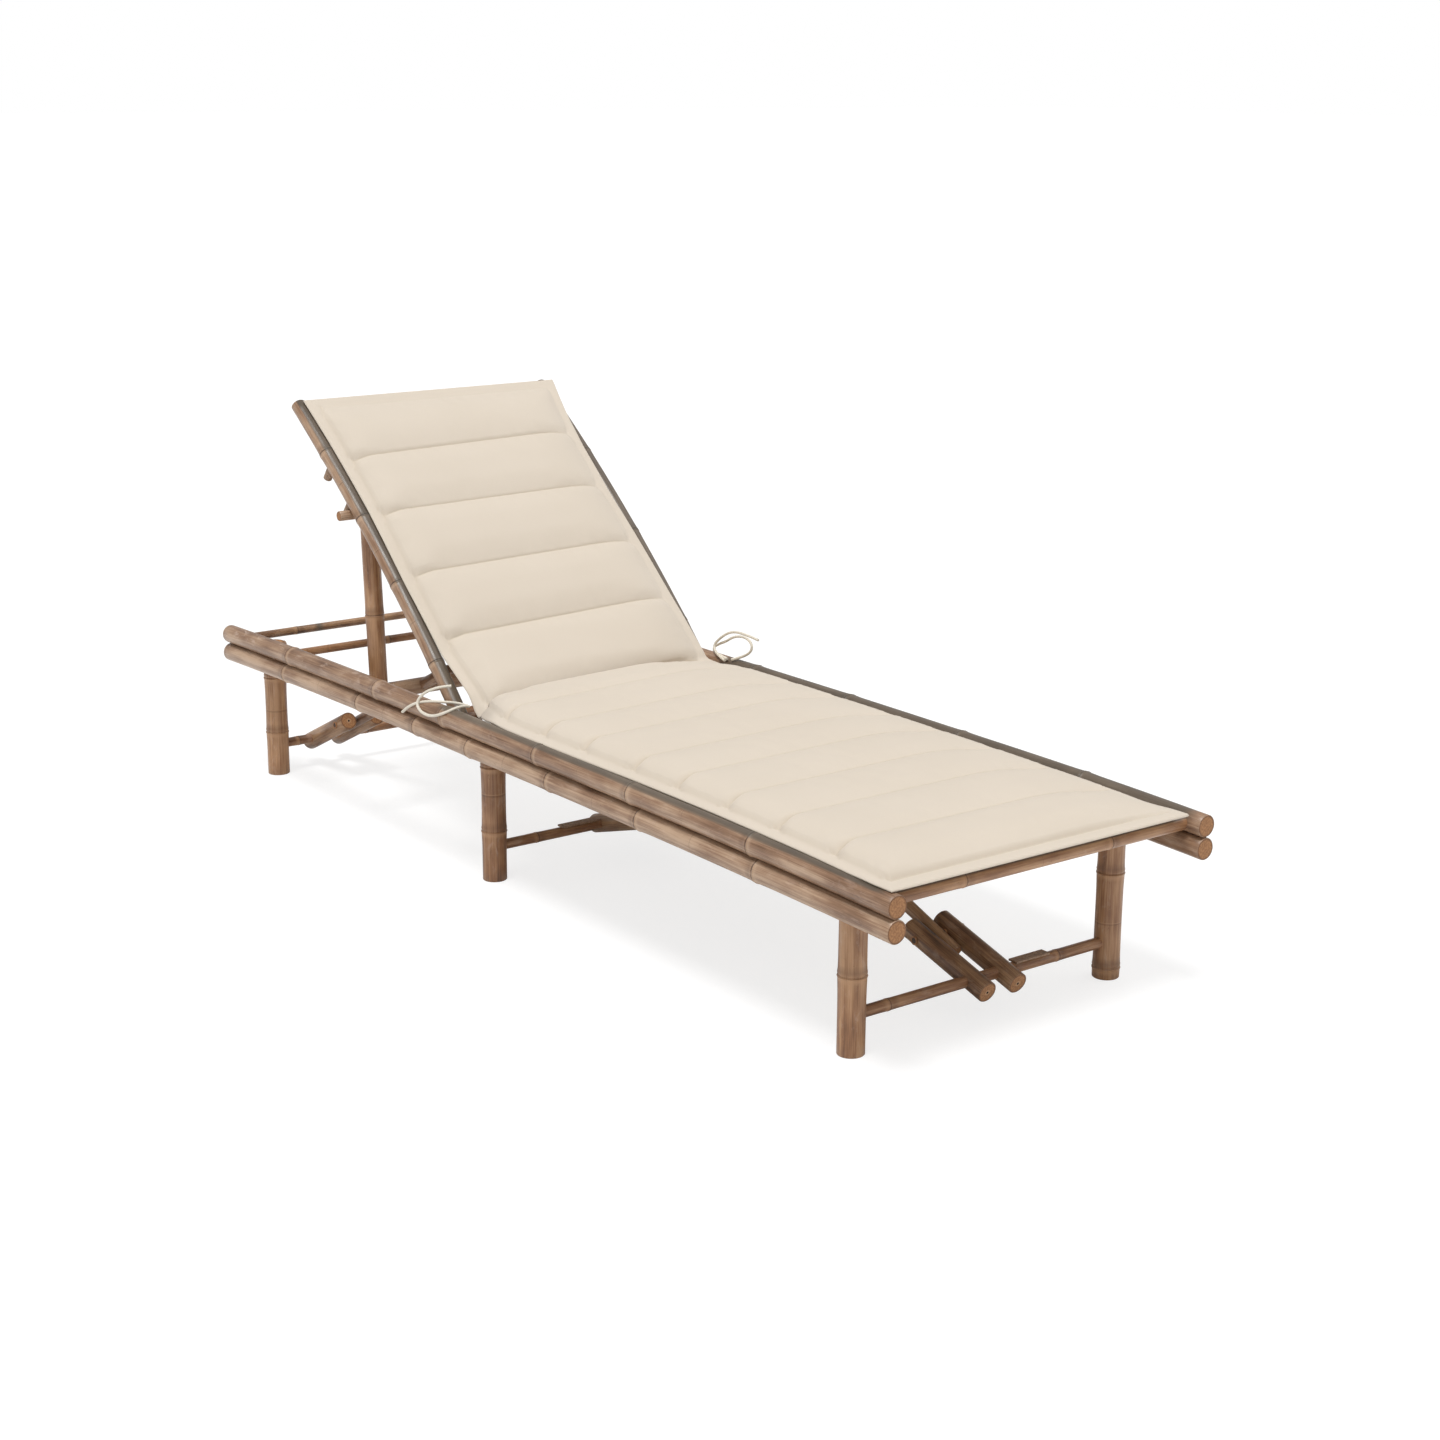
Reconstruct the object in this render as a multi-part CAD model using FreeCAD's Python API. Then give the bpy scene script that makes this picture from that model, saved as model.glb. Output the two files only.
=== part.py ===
# Folding bamboo sun lounger: pole frame, three folding leg frames, lifting backrest on a prop frame,
# one quilted cushion in two solids. Lengths in mm. X across, Y to the head end, Z up, floor at Z zero.
import FreeCAD
import Part
import math
import os

os.makedirs("parts", exist_ok=True)

# Rails
RAIL_LENGTH = 2000.0
RAIL_DIAMETER = 35.0
RAIL_X = 307.0
LOWER_RAIL_Z = 237.0
RAIL_STEP_HEIGHT = 36.0
UPPER_RAIL_Z = LOWER_RAIL_Z + RAIL_STEP_HEIGHT
RING_RISE = 0.9
RING_HALF_WIDTH = 4.0
RING_CREST_HALF_WIDTH = 1.2
END_BREAK = 1.0
PITH_DIAMETER = 5.0
PITH_DEPTH = 14.0
UPPER_RIGHT_RINGS = (311.0, 612.0, 877.0, 1165.0, 1400.0, 1730.0)
LOWER_RIGHT_RINGS = (296.0, 590.0, 842.0, 1085.0, 1262.0, 1465.0, 1749.0)
UPPER_LEFT_RINGS = (255.0, 540.0, 830.0, 1095.0, 1345.0, 1590.0, 1840.0)
LOWER_LEFT_RINGS = (210.0, 480.0, 760.0, 1015.0, 1310.0, 1560.0, 1800.0)

# Blind holes in the rails end this far from the middle plane
HOLE_END_X = 300.0
TURNING_CLEARANCE = 0.05

# Crossbars in the upper rails
FOOT_CROSSBAR_DIAMETER = 22.0
FOOT_CROSSBAR_INSET = 34.0
FOOT_CROSSBAR_Y = FOOT_CROSSBAR_INSET - RAIL_LENGTH / 2
HEAD_CROSSBAR_DIAMETER = 15.5
HEAD_CROSSBAR_OUTER_INSET = 50.0
HEAD_CROSSBAR_INNER_INSET = 225.0
HEAD_CROSSBAR_OUTER_Y = RAIL_LENGTH / 2 - HEAD_CROSSBAR_OUTER_INSET
HEAD_CROSSBAR_INNER_Y = RAIL_LENGTH / 2 - HEAD_CROSSBAR_INNER_INSET

# Seat slats
SLAT_DIAMETER = 16.0
SLAT_RISE_HEIGHT = 6.0
SLAT_Z = UPPER_RAIL_Z + SLAT_RISE_HEIGHT
SLAT_YS = (-750.0, -606.0, -462.0, -318.0, -174.0, -30.0, 160.0)

# Leg frames
LEG_DIAMETER = 42.0
LEG_X = 260.0
LEG_TOP_DROP = 5.0
LEG_TOP_Z = UPPER_RAIL_Z - LEG_TOP_DROP
LEG_PIN_DROP = 15.0
LEG_PIN_Z = UPPER_RAIL_Z - LEG_PIN_DROP
LEG_PIN_DIAMETER = 18.0
LEG_PIN_PROUD_LENGTH = 3.0
STRETCHER_Z = 59.0
STRETCHER_DIAMETER = 18.0
STRETCHER_END_X = 272.0
FOOT_LEG_INSET = 145.0
FOOT_LEG_Y = FOOT_LEG_INSET - RAIL_LENGTH / 2
MID_LEG_Y = 101.0
HEAD_LEG_INSET = 92.0
HEAD_LEG_Y = RAIL_LENGTH / 2 - HEAD_LEG_INSET
FOOT_LEG_RIGHT_RINGS = (120.0,)
FOOT_LEG_LEFT_RINGS = (16.0, 171.0)
MID_LEG_RIGHT_RINGS = (88.0, 203.0)
MID_LEG_LEFT_RINGS = (133.0,)
HEAD_LEG_RIGHT_RINGS = (85.0, 196.0)
HEAD_LEG_LEFT_RINGS = (152.0,)
FOOT_STRETCHER_RINGS = (77.5, 418.0)
MID_STRETCHER_RINGS = (96.0, 431.0)
HEAD_STRETCHER_RINGS = (55.0, 208.0, 398.0)
STRIP_WIDTH = 18.0
STRIP_THICKNESS = 3.0
FOOT_STRIP_X = (57.0, 126.0)
MID_STRIP_X = (-123.0, -47.0)

# Knee braces: two fork poles on the stretcher, one strut to the beam, joined at the knee
FORK_DIAMETER = 34.0
FORK_TAIL_LENGTH = 35.0
FORK_LENGTH = 180.0
STRUT_TAIL_DIAMETER = 18.6
STRUT_KNEE_DIAMETER = 20.0
STRUT_END_DIAMETER = 25.0
STRUT_PAST_KNEE_LENGTH = 45.0
STRUT_PAST_BEAM_LENGTH = 22.0
FORK_CLEARANCE = 0.1
KNEE_BOLT_DIAMETER = 10.0
KNEE_BOLT_HEAD_DIAMETER = 14.0
KNEE_BOLT_HEAD_HEIGHT = 2.0
KNEE_BOLT_STRUT_GAP = 1.2
KNEE_HOLE_DIAMETER = 10.6
BRACE_BEAM_Y = -377.0
BRACE_BEAM_DIAMETER = 18.0
FOOT_KNEE_DISTANCE = 115.0
FOOT_FORK_SLOPE = 16.5
FOOT_FORK_XS = (-25.5, 36.5)
FOOT_STRUT_XS = (5.5, -8.0)
MID_FORK_XS = (-24.5, 37.5)
MID_STRUT_XS = (6.5, 18.0)
HEAD_KNEE_DISTANCE = 119.0
HEAD_FORK_SLOPE = 25.5
HEAD_FORK_XS = (-171.0, -109.0)
HEAD_STRUT_XS = (-140.0, -140.0)

# Head beam, part of the head strut, turning in the lower rails
HEAD_BEAM_Y = 545.0
HEAD_BEAM_DIAMETER = 30.5
HEAD_BEAM_SHOULDER_X = 208.0
HEAD_BEAM_TENON_DIAMETER = 18.0
HEAD_STRUT_PAST_BEAM_LENGTH = 72.0
HEAD_STRUT_END_DIAMETER = 22.0

# Backrest
HINGE_Y = 205.0
HINGE_PIN_DIAMETER = 16.0
HINGE_PIN_INNER_X = 250.0
BACK_POLE_DIAMETER = 28.0
BACK_POLE_RIGHT_X = -262.0
BACK_POLE_LEFT_X = 272.0
BACK_CHORD = 733.0
BACK_SAGITTA = 18.0
BACK_ANGLE = 40.6
BACK_POLE_TAIL = 20.0
BACK_BAR_DIAMETER = 16.0
BACK_BAR_LENGTHS = (92.0, 240.0, 388.0, 532.0, 690.0)
BACK_BAR_END_INSET = 6.0
PEG_DIAMETER = 16.0
PEG_PROUD = 24.0
PEG_LOW = 486.0
PEG_HIGH = 576.0

# Prop frame
PROP_POLE_DIAMETER = 34.0
PROP_POLE_X = 230.0
PROP_ROD_DIAMETER = 18.0
PROP_ROD_HALF_LENGTH = 292.0
PROP_ROD_GAP = 0.3
PROP_ROD_LENGTH_SHARE = 468.7 / 733.0
PROP_PAST_ROD_LENGTH = 18.0
PROP_PAST_BEAM_LENGTH = 22.0
PROP_RING_FROM_BEAM = 145.0

# Cushion
CUSHION_WIDTH = 590.0
BACK_CUSHION_WIDTH = 550.0
BACK_CUSHION_OFFSET_X = 17.0
BACK_WAIST_DROP = 31.0
BACK_WAIST_LENGTH = 413.0
BACK_FAR_LOW_DROP = 17.0
BACK_FAR_BEND_DROP = 25.0
HEM_WIDTH = 25.0
HEM_THICKNESS = 5.0
PAD_HEIGHT = 31.0
BACK_PAD_HEIGHT = 29.0
SEAM_DROP = 14.0
PAD_SIDE_ROUND = 45.0
PAD_SIDE_RISE = 9.0
PAD_SECTION_SPARE = 3.0
CUSHION_FOOT_INSET = 8.0
CUSHION_FOOT_Y = CUSHION_FOOT_INSET - RAIL_LENGTH / 2
CUSHION_SKEW_ANGLE = 1.5
CUSHION_OFFSET_X = 14.0
CUSHION_OFFSET_Y = 190.0
SEAT_SEAM_YS = (-967.0, -826.0, -688.0, -550.0, -412.0, -274.0, -137.0, 0.0, 135.0)
SEAT_END_Y = 205.0
SEAT_END_ANGLE = 140.0
BACK_END_ANGLE = 90.5
BACK_SEAM_LENGTHS = (0.0, 138.0, 280.0, 420.0, 555.0, 692.0)
BACK_HEM_END = 717.0

# Tie cords: route points from one free end over the stitching to the other
CORD_DIAMETER = 5.0
CORD_BEND_TRIM = 9.0
CORD_TRIM_SHARE = 0.45
TIE_RIGHT_SHORT_POINTS = (
    (-270.0, 164.0, 299.0),
    (-285.0, 176.0, 299.0),
    (-303.0, 200.0, 296.5),
    (-318.0, 232.0, 292.0),
    (-327.0, 262.0, 281.0),
    (-328.0, 288.0, 270.0),
)
TIE_RIGHT_LOOP_POINTS = (
    (-271.0, 158.0, 299.0),
    (-286.0, 151.0, 299.0),
    (-306.0, 146.0, 297.0),
    (-324.0, 152.0, 290.0),
    (-330.0, 185.0, 284.0),
    (-330.0, 222.0, 284.0),
    (-326.0, 244.0, 296.0),
    (-317.0, 232.0, 315.0),
    (-302.0, 214.0, 325.0),
    (-290.0, 205.0, 327.5),
    (-281.0, 199.0, 328.5),
)
TIE_LEFT_SHORT_POINTS = (
    (290.0, 168.0, 299.0),
    (297.0, 198.0, 301.0),
    (303.0, 222.0, 314.0),
    (309.0, 205.0, 334.0),
    (312.0, 174.0, 351.0),
    (312.0, 129.0, 352.0),
    (310.0, 93.0, 349.0),
)
TIE_LEFT_LOOP_POINTS = (
    (296.0, 168.0, 299.0),
    (304.0, 196.0, 299.5),
    (311.0, 226.0, 302.0),
    (310.0, 189.0, 323.0),
    (308.0, 165.0, 343.0),
    (308.0, 138.0, 348.0),
    (308.0, 117.0, 343.0),
    (308.0, 110.0, 331.0),
    (308.0, 134.0, 314.0),
    (307.0, 152.0, 302.0),
    (298.0, 158.0, 299.0),
)


def point(x, y, z):
    return FreeCAD.Vector(x, y, z)


def exported(name, shape):
    shape.exportStep("parts/" + name + ".step")


def cylinder(start, end, diameter):
    axis = end - start
    return Part.makeCylinder(diameter / 2, axis.Length, start, axis)


def ringed(length, diameter, rings, end_diameter=None):
    """Outline of a pole as lengths and diameters, with a raised ring at each named length"""
    if end_diameter is None:
        end_diameter = diameter

    def at(t):
        return diameter + (end_diameter - diameter) * t / length

    outline = [(0.0, diameter - 2 * END_BREAK), (END_BREAK, at(END_BREAK))]
    for ring in rings:
        outline.append((ring - RING_HALF_WIDTH, at(ring)))
        outline.append((ring - RING_CREST_HALF_WIDTH, at(ring) + 2 * RING_RISE))
        outline.append((ring + RING_CREST_HALF_WIDTH, at(ring) + 2 * RING_RISE))
        outline.append((ring + RING_HALF_WIDTH, at(ring)))
    outline.append((length - END_BREAK, at(length)))
    outline.append((length, end_diameter - 2 * END_BREAK))
    return outline


def turned(start, end, outline):
    """Solid of revolution from start towards end"""
    corners = [point(0, 0, 0)]
    for t, diameter in outline:
        corners.append(point(diameter / 2, 0, t))
    corners.append(point(0, 0, outline[-1][0]))
    corners.append(point(0, 0, 0))
    face = Part.Face(Part.makePolygon(corners))
    solid = face.revolve(point(0, 0, 0), point(0, 0, 1), 360)
    turn = FreeCAD.Rotation(point(0, 0, 1), end - start)
    solid.Placement = FreeCAD.Placement(start, turn)
    return solid


def pole(start, end, diameter, rings=(), end_diameter=None):
    length = (end - start).Length
    return turned(start, end, ringed(length, diameter, rings, end_diameter))


def with_pith(solid, start, end):
    """Small blind hole in both end faces"""
    along = (end - start).normalize()
    for face_point, inward in ((start, along), (end, -along)):
        hole = cylinder(face_point, face_point + inward * PITH_DEPTH, PITH_DIAMETER)
        solid = solid.cut(hole)
    return solid


def crossing(y, z, half_length, diameter):
    """Straight rod across the frame"""
    return cylinder(point(-half_length, y, z), point(half_length, y, z), diameter)


def pin_pair(y, z, inner_x, diameter):
    """Two short pins in line, each from inner_x into its rail"""
    left = cylinder(point(inner_x, y, z), point(HOLE_END_X, y, z), diameter)
    right = cylinder(point(-inner_x, y, z), point(-HOLE_END_X, y, z), diameter)
    return Part.makeCompound([left, right])


# Rods and pins fixed in the rails
slats = []
for slat_y in SLAT_YS:
    slats.append(crossing(slat_y, SLAT_Z, HOLE_END_X, SLAT_DIAMETER))
foot_crossbar = crossing(FOOT_CROSSBAR_Y, UPPER_RAIL_Z, HOLE_END_X, FOOT_CROSSBAR_DIAMETER)
head_crossbar_outer = crossing(HEAD_CROSSBAR_OUTER_Y, UPPER_RAIL_Z, HOLE_END_X, HEAD_CROSSBAR_DIAMETER)
head_crossbar_inner = crossing(HEAD_CROSSBAR_INNER_Y, UPPER_RAIL_Z, HOLE_END_X, HEAD_CROSSBAR_DIAMETER)
leg_pin_inner_x = LEG_X - LEG_DIAMETER / 2 - LEG_PIN_PROUD_LENGTH
foot_leg_pins = pin_pair(FOOT_LEG_Y, LEG_PIN_Z, leg_pin_inner_x, LEG_PIN_DIAMETER)
mid_leg_pins = pin_pair(MID_LEG_Y, LEG_PIN_Z, leg_pin_inner_x, LEG_PIN_DIAMETER)
head_leg_pins = pin_pair(HEAD_LEG_Y, LEG_PIN_Z, leg_pin_inner_x, LEG_PIN_DIAMETER)
brace_beam = crossing(BRACE_BEAM_Y, LOWER_RAIL_Z, HOLE_END_X, BRACE_BEAM_DIAMETER)
back_hinge_pins = pin_pair(HINGE_Y, UPPER_RAIL_Z, HINGE_PIN_INNER_X, HINGE_PIN_DIAMETER)
tenon_room_diameter = HEAD_BEAM_TENON_DIAMETER + 2 * TURNING_CLEARANCE
tenon_room = crossing(HEAD_BEAM_Y, LOWER_RAIL_Z, HOLE_END_X, tenon_room_diameter)

# Rails
fixed_rods = slats + [foot_crossbar, head_crossbar_outer, head_crossbar_inner]
fixed_rods = fixed_rods + [foot_leg_pins, mid_leg_pins, head_leg_pins, brace_beam, back_hinge_pins]
for name, side, rail_z, rings in (
    ("upper_rail_right", -1, UPPER_RAIL_Z, UPPER_RIGHT_RINGS),
    ("lower_rail_right", -1, LOWER_RAIL_Z, LOWER_RIGHT_RINGS),
    ("upper_rail_left", 1, UPPER_RAIL_Z, UPPER_LEFT_RINGS),
    ("lower_rail_left", 1, LOWER_RAIL_Z, LOWER_LEFT_RINGS),
):
    rail_start = point(side * RAIL_X, -RAIL_LENGTH / 2, rail_z)
    rail_end = point(side * RAIL_X, RAIL_LENGTH / 2, rail_z)
    rail = with_pith(pole(rail_start, rail_end, RAIL_DIAMETER, rings), rail_start, rail_end)
    for rod in fixed_rods:
        if rail.BoundBox.intersect(rod.BoundBox):
            rail = rail.cut(rod)
    rail = rail.cut(tenon_room)
    exported(name, rail)

exported("foot_crossbar", foot_crossbar)
exported("head_crossbar_outer", head_crossbar_outer)
exported("head_crossbar_inner", head_crossbar_inner)
exported("foot_leg_pins", foot_leg_pins)
exported("mid_leg_pins", mid_leg_pins)
exported("head_leg_pins", head_leg_pins)
exported("brace_beam", brace_beam)
exported("back_hinge_pins", back_hinge_pins)
for number, slat in enumerate(slats):
    exported("seat_slat_" + str(number + 1), slat)


def leg_frame(prefix, leg_y, right_rings, left_rings, stretcher_rings):
    """Two legs turning on their pins, joined by a stretcher"""
    stretcher_start = point(-STRETCHER_END_X, leg_y, STRETCHER_Z)
    stretcher_end = point(STRETCHER_END_X, leg_y, STRETCHER_Z)
    stretcher = pole(stretcher_start, stretcher_end, STRETCHER_DIAMETER, stretcher_rings)
    pin_room = crossing(leg_y, LEG_PIN_Z, HOLE_END_X, LEG_PIN_DIAMETER + 2 * TURNING_CLEARANCE)
    for side_name, side, rings in (("right", -1, right_rings), ("left", 1, left_rings)):
        foot = point(side * LEG_X, leg_y, 0)
        top = point(side * LEG_X, leg_y, LEG_TOP_Z)
        leg = pole(foot, top, LEG_DIAMETER, rings)
        leg = leg.cut(pin_room)
        leg = leg.cut(stretcher)
        exported(prefix + "_leg_" + side_name, leg)
    exported(prefix + "_stretcher", stretcher)


def strip(prefix, leg_y, ends):
    """Split strip lying on top of the stretcher"""
    size_x = ends[1] - ends[0]
    low = STRETCHER_Z + STRETCHER_DIAMETER / 2
    corner = point(ends[0], leg_y - STRIP_WIDTH / 2, low)
    exported(prefix + "_keeper_strip", Part.makeBox(size_x, STRIP_WIDTH, STRIP_THICKNESS, corner))


leg_frame("foot", FOOT_LEG_Y, FOOT_LEG_RIGHT_RINGS, FOOT_LEG_LEFT_RINGS, FOOT_STRETCHER_RINGS)
leg_frame("mid", MID_LEG_Y, MID_LEG_RIGHT_RINGS, MID_LEG_LEFT_RINGS, MID_STRETCHER_RINGS)
leg_frame("head", HEAD_LEG_Y, HEAD_LEG_RIGHT_RINGS, HEAD_LEG_LEFT_RINGS, HEAD_STRETCHER_RINGS)
strip("foot", FOOT_LEG_Y, FOOT_STRIP_X)
strip("mid", MID_LEG_Y, MID_STRIP_X)


def brace(prefix, leg_y, beam_y, knee_distance, slope, fork_xs, strut_xs, head):
    """Fork poles, knee bolts and strut of one brace; heading is the way the brace rises"""
    heading = 1 if beam_y > leg_y else -1
    rise = math.radians(slope)
    along = point(0, heading * math.cos(rise), math.sin(rise))
    pivot = point(0, leg_y, STRETCHER_Z)
    knee = pivot + along * knee_distance
    fork_x_low = point(fork_xs[0], 0, 0)
    fork_x_high = point(fork_xs[1], 0, 0)
    low = pivot - along * FORK_TAIL_LENGTH
    high = low + along * FORK_LENGTH
    stretcher_room = crossing(leg_y, STRETCHER_Z, STRETCHER_END_X, STRETCHER_DIAMETER + 2 * FORK_CLEARANCE)
    bolts = []
    strut_half = STRUT_KNEE_DIAMETER / 2
    for fork_x, side in ((fork_x_low, -1), (fork_x_high, 1)):
        outer = side * FORK_DIAMETER / 2
        inner_x = strut_xs[0] + side * (strut_half + KNEE_BOLT_STRUT_GAP)
        outer_x = fork_x.x + outer
        shank = cylinder(point(inner_x, knee.y, knee.z), point(outer_x, knee.y, knee.z), KNEE_BOLT_DIAMETER)
        head_start = point(outer_x, knee.y, knee.z)
        head_end = point(outer_x + side * KNEE_BOLT_HEAD_HEIGHT, knee.y, knee.z)
        bolts.append(shank.fuse(cylinder(head_start, head_end, KNEE_BOLT_HEAD_DIAMETER)).removeSplitter())
    knee_bolts = Part.makeCompound(bolts)
    for side_name, fork_x in (("right", fork_x_low), ("left", fork_x_high)):
        fork = with_pith(pole(low + fork_x, high + fork_x, FORK_DIAMETER), low + fork_x, high + fork_x)
        fork = fork.cut(stretcher_room)
        for bolt in bolts:
            fork = fork.cut(bolt)
        exported(prefix + "_fork_pole_" + side_name, fork)
    exported(prefix + "_knee_bolts", knee_bolts)

    knee_point = point(strut_xs[0], knee.y, knee.z)
    beam_point = point(strut_xs[1], beam_y, LOWER_RAIL_Z)
    direction = (beam_point - knee_point).normalize()
    reach = (beam_point - knee_point).Length
    past = HEAD_STRUT_PAST_BEAM_LENGTH if head else STRUT_PAST_BEAM_LENGTH
    end_diameter = HEAD_STRUT_END_DIAMETER if head else STRUT_END_DIAMETER
    start = knee_point - direction * STRUT_PAST_KNEE_LENGTH
    end = beam_point + direction * past
    full = STRUT_PAST_KNEE_LENGTH + reach + past
    outline = [(0.0, STRUT_TAIL_DIAMETER - 2 * END_BREAK), (END_BREAK, STRUT_TAIL_DIAMETER)]
    outline.append((STRUT_PAST_KNEE_LENGTH, STRUT_KNEE_DIAMETER))
    outline.append((STRUT_PAST_KNEE_LENGTH + reach - end_diameter, end_diameter))
    outline.append((full - END_BREAK, end_diameter))
    outline.append((full, end_diameter - 2 * END_BREAK))
    strut = turned(start, end, outline)
    knee_room = crossing(knee.y, knee.z, HOLE_END_X, KNEE_HOLE_DIAMETER)
    strut = strut.cut(knee_room)
    if head:
        beam_outline = [(0.0, HEAD_BEAM_TENON_DIAMETER)]
        tenon = HOLE_END_X - HEAD_BEAM_SHOULDER_X
        beam_outline.append((tenon, HEAD_BEAM_TENON_DIAMETER))
        beam_outline.append((tenon, HEAD_BEAM_DIAMETER))
        beam_outline.append((2 * HOLE_END_X - tenon, HEAD_BEAM_DIAMETER))
        beam_outline.append((2 * HOLE_END_X - tenon, HEAD_BEAM_TENON_DIAMETER))
        beam_outline.append((2 * HOLE_END_X, HEAD_BEAM_TENON_DIAMETER))
        beam_start = point(-HOLE_END_X, beam_y, LOWER_RAIL_Z)
        beam_end = point(HOLE_END_X, beam_y, LOWER_RAIL_Z)
        head_beam = turned(beam_start, beam_end, beam_outline)
        exported("head_beam", head_beam.cut(strut))
    else:
        beam_room = crossing(beam_y, LOWER_RAIL_Z, HOLE_END_X, BRACE_BEAM_DIAMETER + 2 * TURNING_CLEARANCE)
        strut = strut.cut(beam_room)
    exported(prefix + "_strut", strut)


brace("foot", FOOT_LEG_Y, BRACE_BEAM_Y, FOOT_KNEE_DISTANCE, FOOT_FORK_SLOPE,
      FOOT_FORK_XS, FOOT_STRUT_XS, False)
brace("mid", MID_LEG_Y, BRACE_BEAM_Y, FOOT_KNEE_DISTANCE, FOOT_FORK_SLOPE,
      MID_FORK_XS, MID_STRUT_XS, False)
brace("head", HEAD_LEG_Y, HEAD_BEAM_Y, HEAD_KNEE_DISTANCE, HEAD_FORK_SLOPE,
      HEAD_FORK_XS, HEAD_STRUT_XS, True)


def cord(route):
    """Round cord through route points, straight runs joined by tangent arcs"""
    corners = [point(x, y, z) for x, y, z in route]
    edges = []
    start = corners[0]
    for before, corner, after in zip(corners[:-2], corners[1:-1], corners[2:]):
        back = before - corner
        onward = after - corner
        trim = min(CORD_BEND_TRIM, CORD_TRIM_SHARE * back.Length, CORD_TRIM_SHARE * onward.Length)
        back.normalize()
        onward.normalize()
        half_turn = math.acos(max(-1.0, min(1.0, back.dot(onward)))) / 2
        bisector = (back + onward).normalize()
        to_centre = trim / math.cos(half_turn)
        radius = trim * math.tan(half_turn)
        first = corner + back * trim
        second = corner + onward * trim
        middle = corner + bisector * (to_centre - radius)
        edges.append(Part.makeLine(start, first))
        edges.append(Part.Arc(first, middle, second).toShape())
        start = second
    edges.append(Part.makeLine(start, corners[-1]))
    spine = Part.Wire(edges)
    section = Part.Wire([Part.makeCircle(CORD_DIAMETER / 2, corners[0], corners[1] - corners[0])])
    return spine.makePipeShell([section], True, True)


exported("tie_cord_right", Part.makeCompound([cord(TIE_RIGHT_SHORT_POINTS), cord(TIE_RIGHT_LOOP_POINTS)]))
exported("tie_cord_left", Part.makeCompound([cord(TIE_LEFT_SHORT_POINTS), cord(TIE_LEFT_LOOP_POINTS)]))

# Backrest curve: a circular arc through the hinge and the top end
chord_angle = math.radians(BACK_ANGLE)
chord_way = point(0, math.cos(chord_angle), math.sin(chord_angle))
chord_up = point(0, -math.sin(chord_angle), math.cos(chord_angle))
hinge = point(0, HINGE_Y, UPPER_RAIL_Z)
arc_radius = (BACK_CHORD * BACK_CHORD / 4 + BACK_SAGITTA * BACK_SAGITTA) / (2 * BACK_SAGITTA)
arc_centre = hinge + chord_way * (BACK_CHORD / 2) + chord_up * (BACK_SAGITTA - arc_radius)
half_arc = math.asin(BACK_CHORD / 2 / arc_radius)


def back_angle(length):
    """Angle at the arc's centre for a length along the pole from the hinge"""
    return chord_angle + math.pi / 2 + half_arc - length / arc_radius


def back_outward(length):
    angle = back_angle(length)
    return point(0, math.cos(angle), math.sin(angle))


def back_point(length, height):
    """Point of the backrest's side view, height measured from the pole's axis towards the sitter"""
    return arc_centre + back_outward(length) * (arc_radius + height)


arc_length = 2 * half_arc * arc_radius
top_length = arc_length
pegs = []
for peg_length in (PEG_LOW, PEG_HIGH):
    for pole_x in (BACK_POLE_RIGHT_X, BACK_POLE_LEFT_X):
        offset = point(pole_x, 0, 0)
        peg_in = back_point(peg_length, 0) + offset
        peg_out = back_point(peg_length, -BACK_POLE_DIAMETER / 2 - PEG_PROUD) + offset
        pegs.append(cylinder(peg_in, peg_out, PEG_DIAMETER))
exported("back_pegs", Part.makeCompound(pegs))

bars = []
bar_start = point(BACK_POLE_RIGHT_X - BACK_BAR_END_INSET, 0, 0)
bar_end = point(BACK_POLE_LEFT_X + BACK_BAR_END_INSET, 0, 0)
for number, bar_length in enumerate(BACK_BAR_LENGTHS):
    axis_point = back_point(bar_length, 0)
    bar = cylinder(axis_point + bar_start, axis_point + bar_end, BACK_BAR_DIAMETER)
    bars.append(bar)
    exported("back_bar_" + str(number + 1), bar)

pin_room_diameter = HINGE_PIN_DIAMETER + 2 * TURNING_CLEARANCE
pin_room = crossing(HINGE_Y, UPPER_RAIL_Z, HOLE_END_X, pin_room_diameter)
sweep = math.degrees((arc_length + BACK_POLE_TAIL) / arc_radius)
for name, pole_x in (("back_pole_right", BACK_POLE_RIGHT_X), ("back_pole_left", BACK_POLE_LEFT_X)):
    low_end = back_point(-BACK_POLE_TAIL, 0) + point(pole_x, 0, 0)
    tangent = back_outward(-BACK_POLE_TAIL).cross(point(1, 0, 0))
    ring = Part.makeCircle(BACK_POLE_DIAMETER / 2, low_end, tangent)
    disc = Part.Face(Part.Wire([ring]))
    solid = disc.revolve(arc_centre, point(-1, 0, 0), sweep)
    solid = solid.cut(pin_room)
    for peg in pegs:
        if peg.BoundBox.intersect(solid.BoundBox):
            solid = solid.cut(peg)
    for bar in bars:
        solid = solid.cut(bar)
    exported(name, solid)

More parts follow.
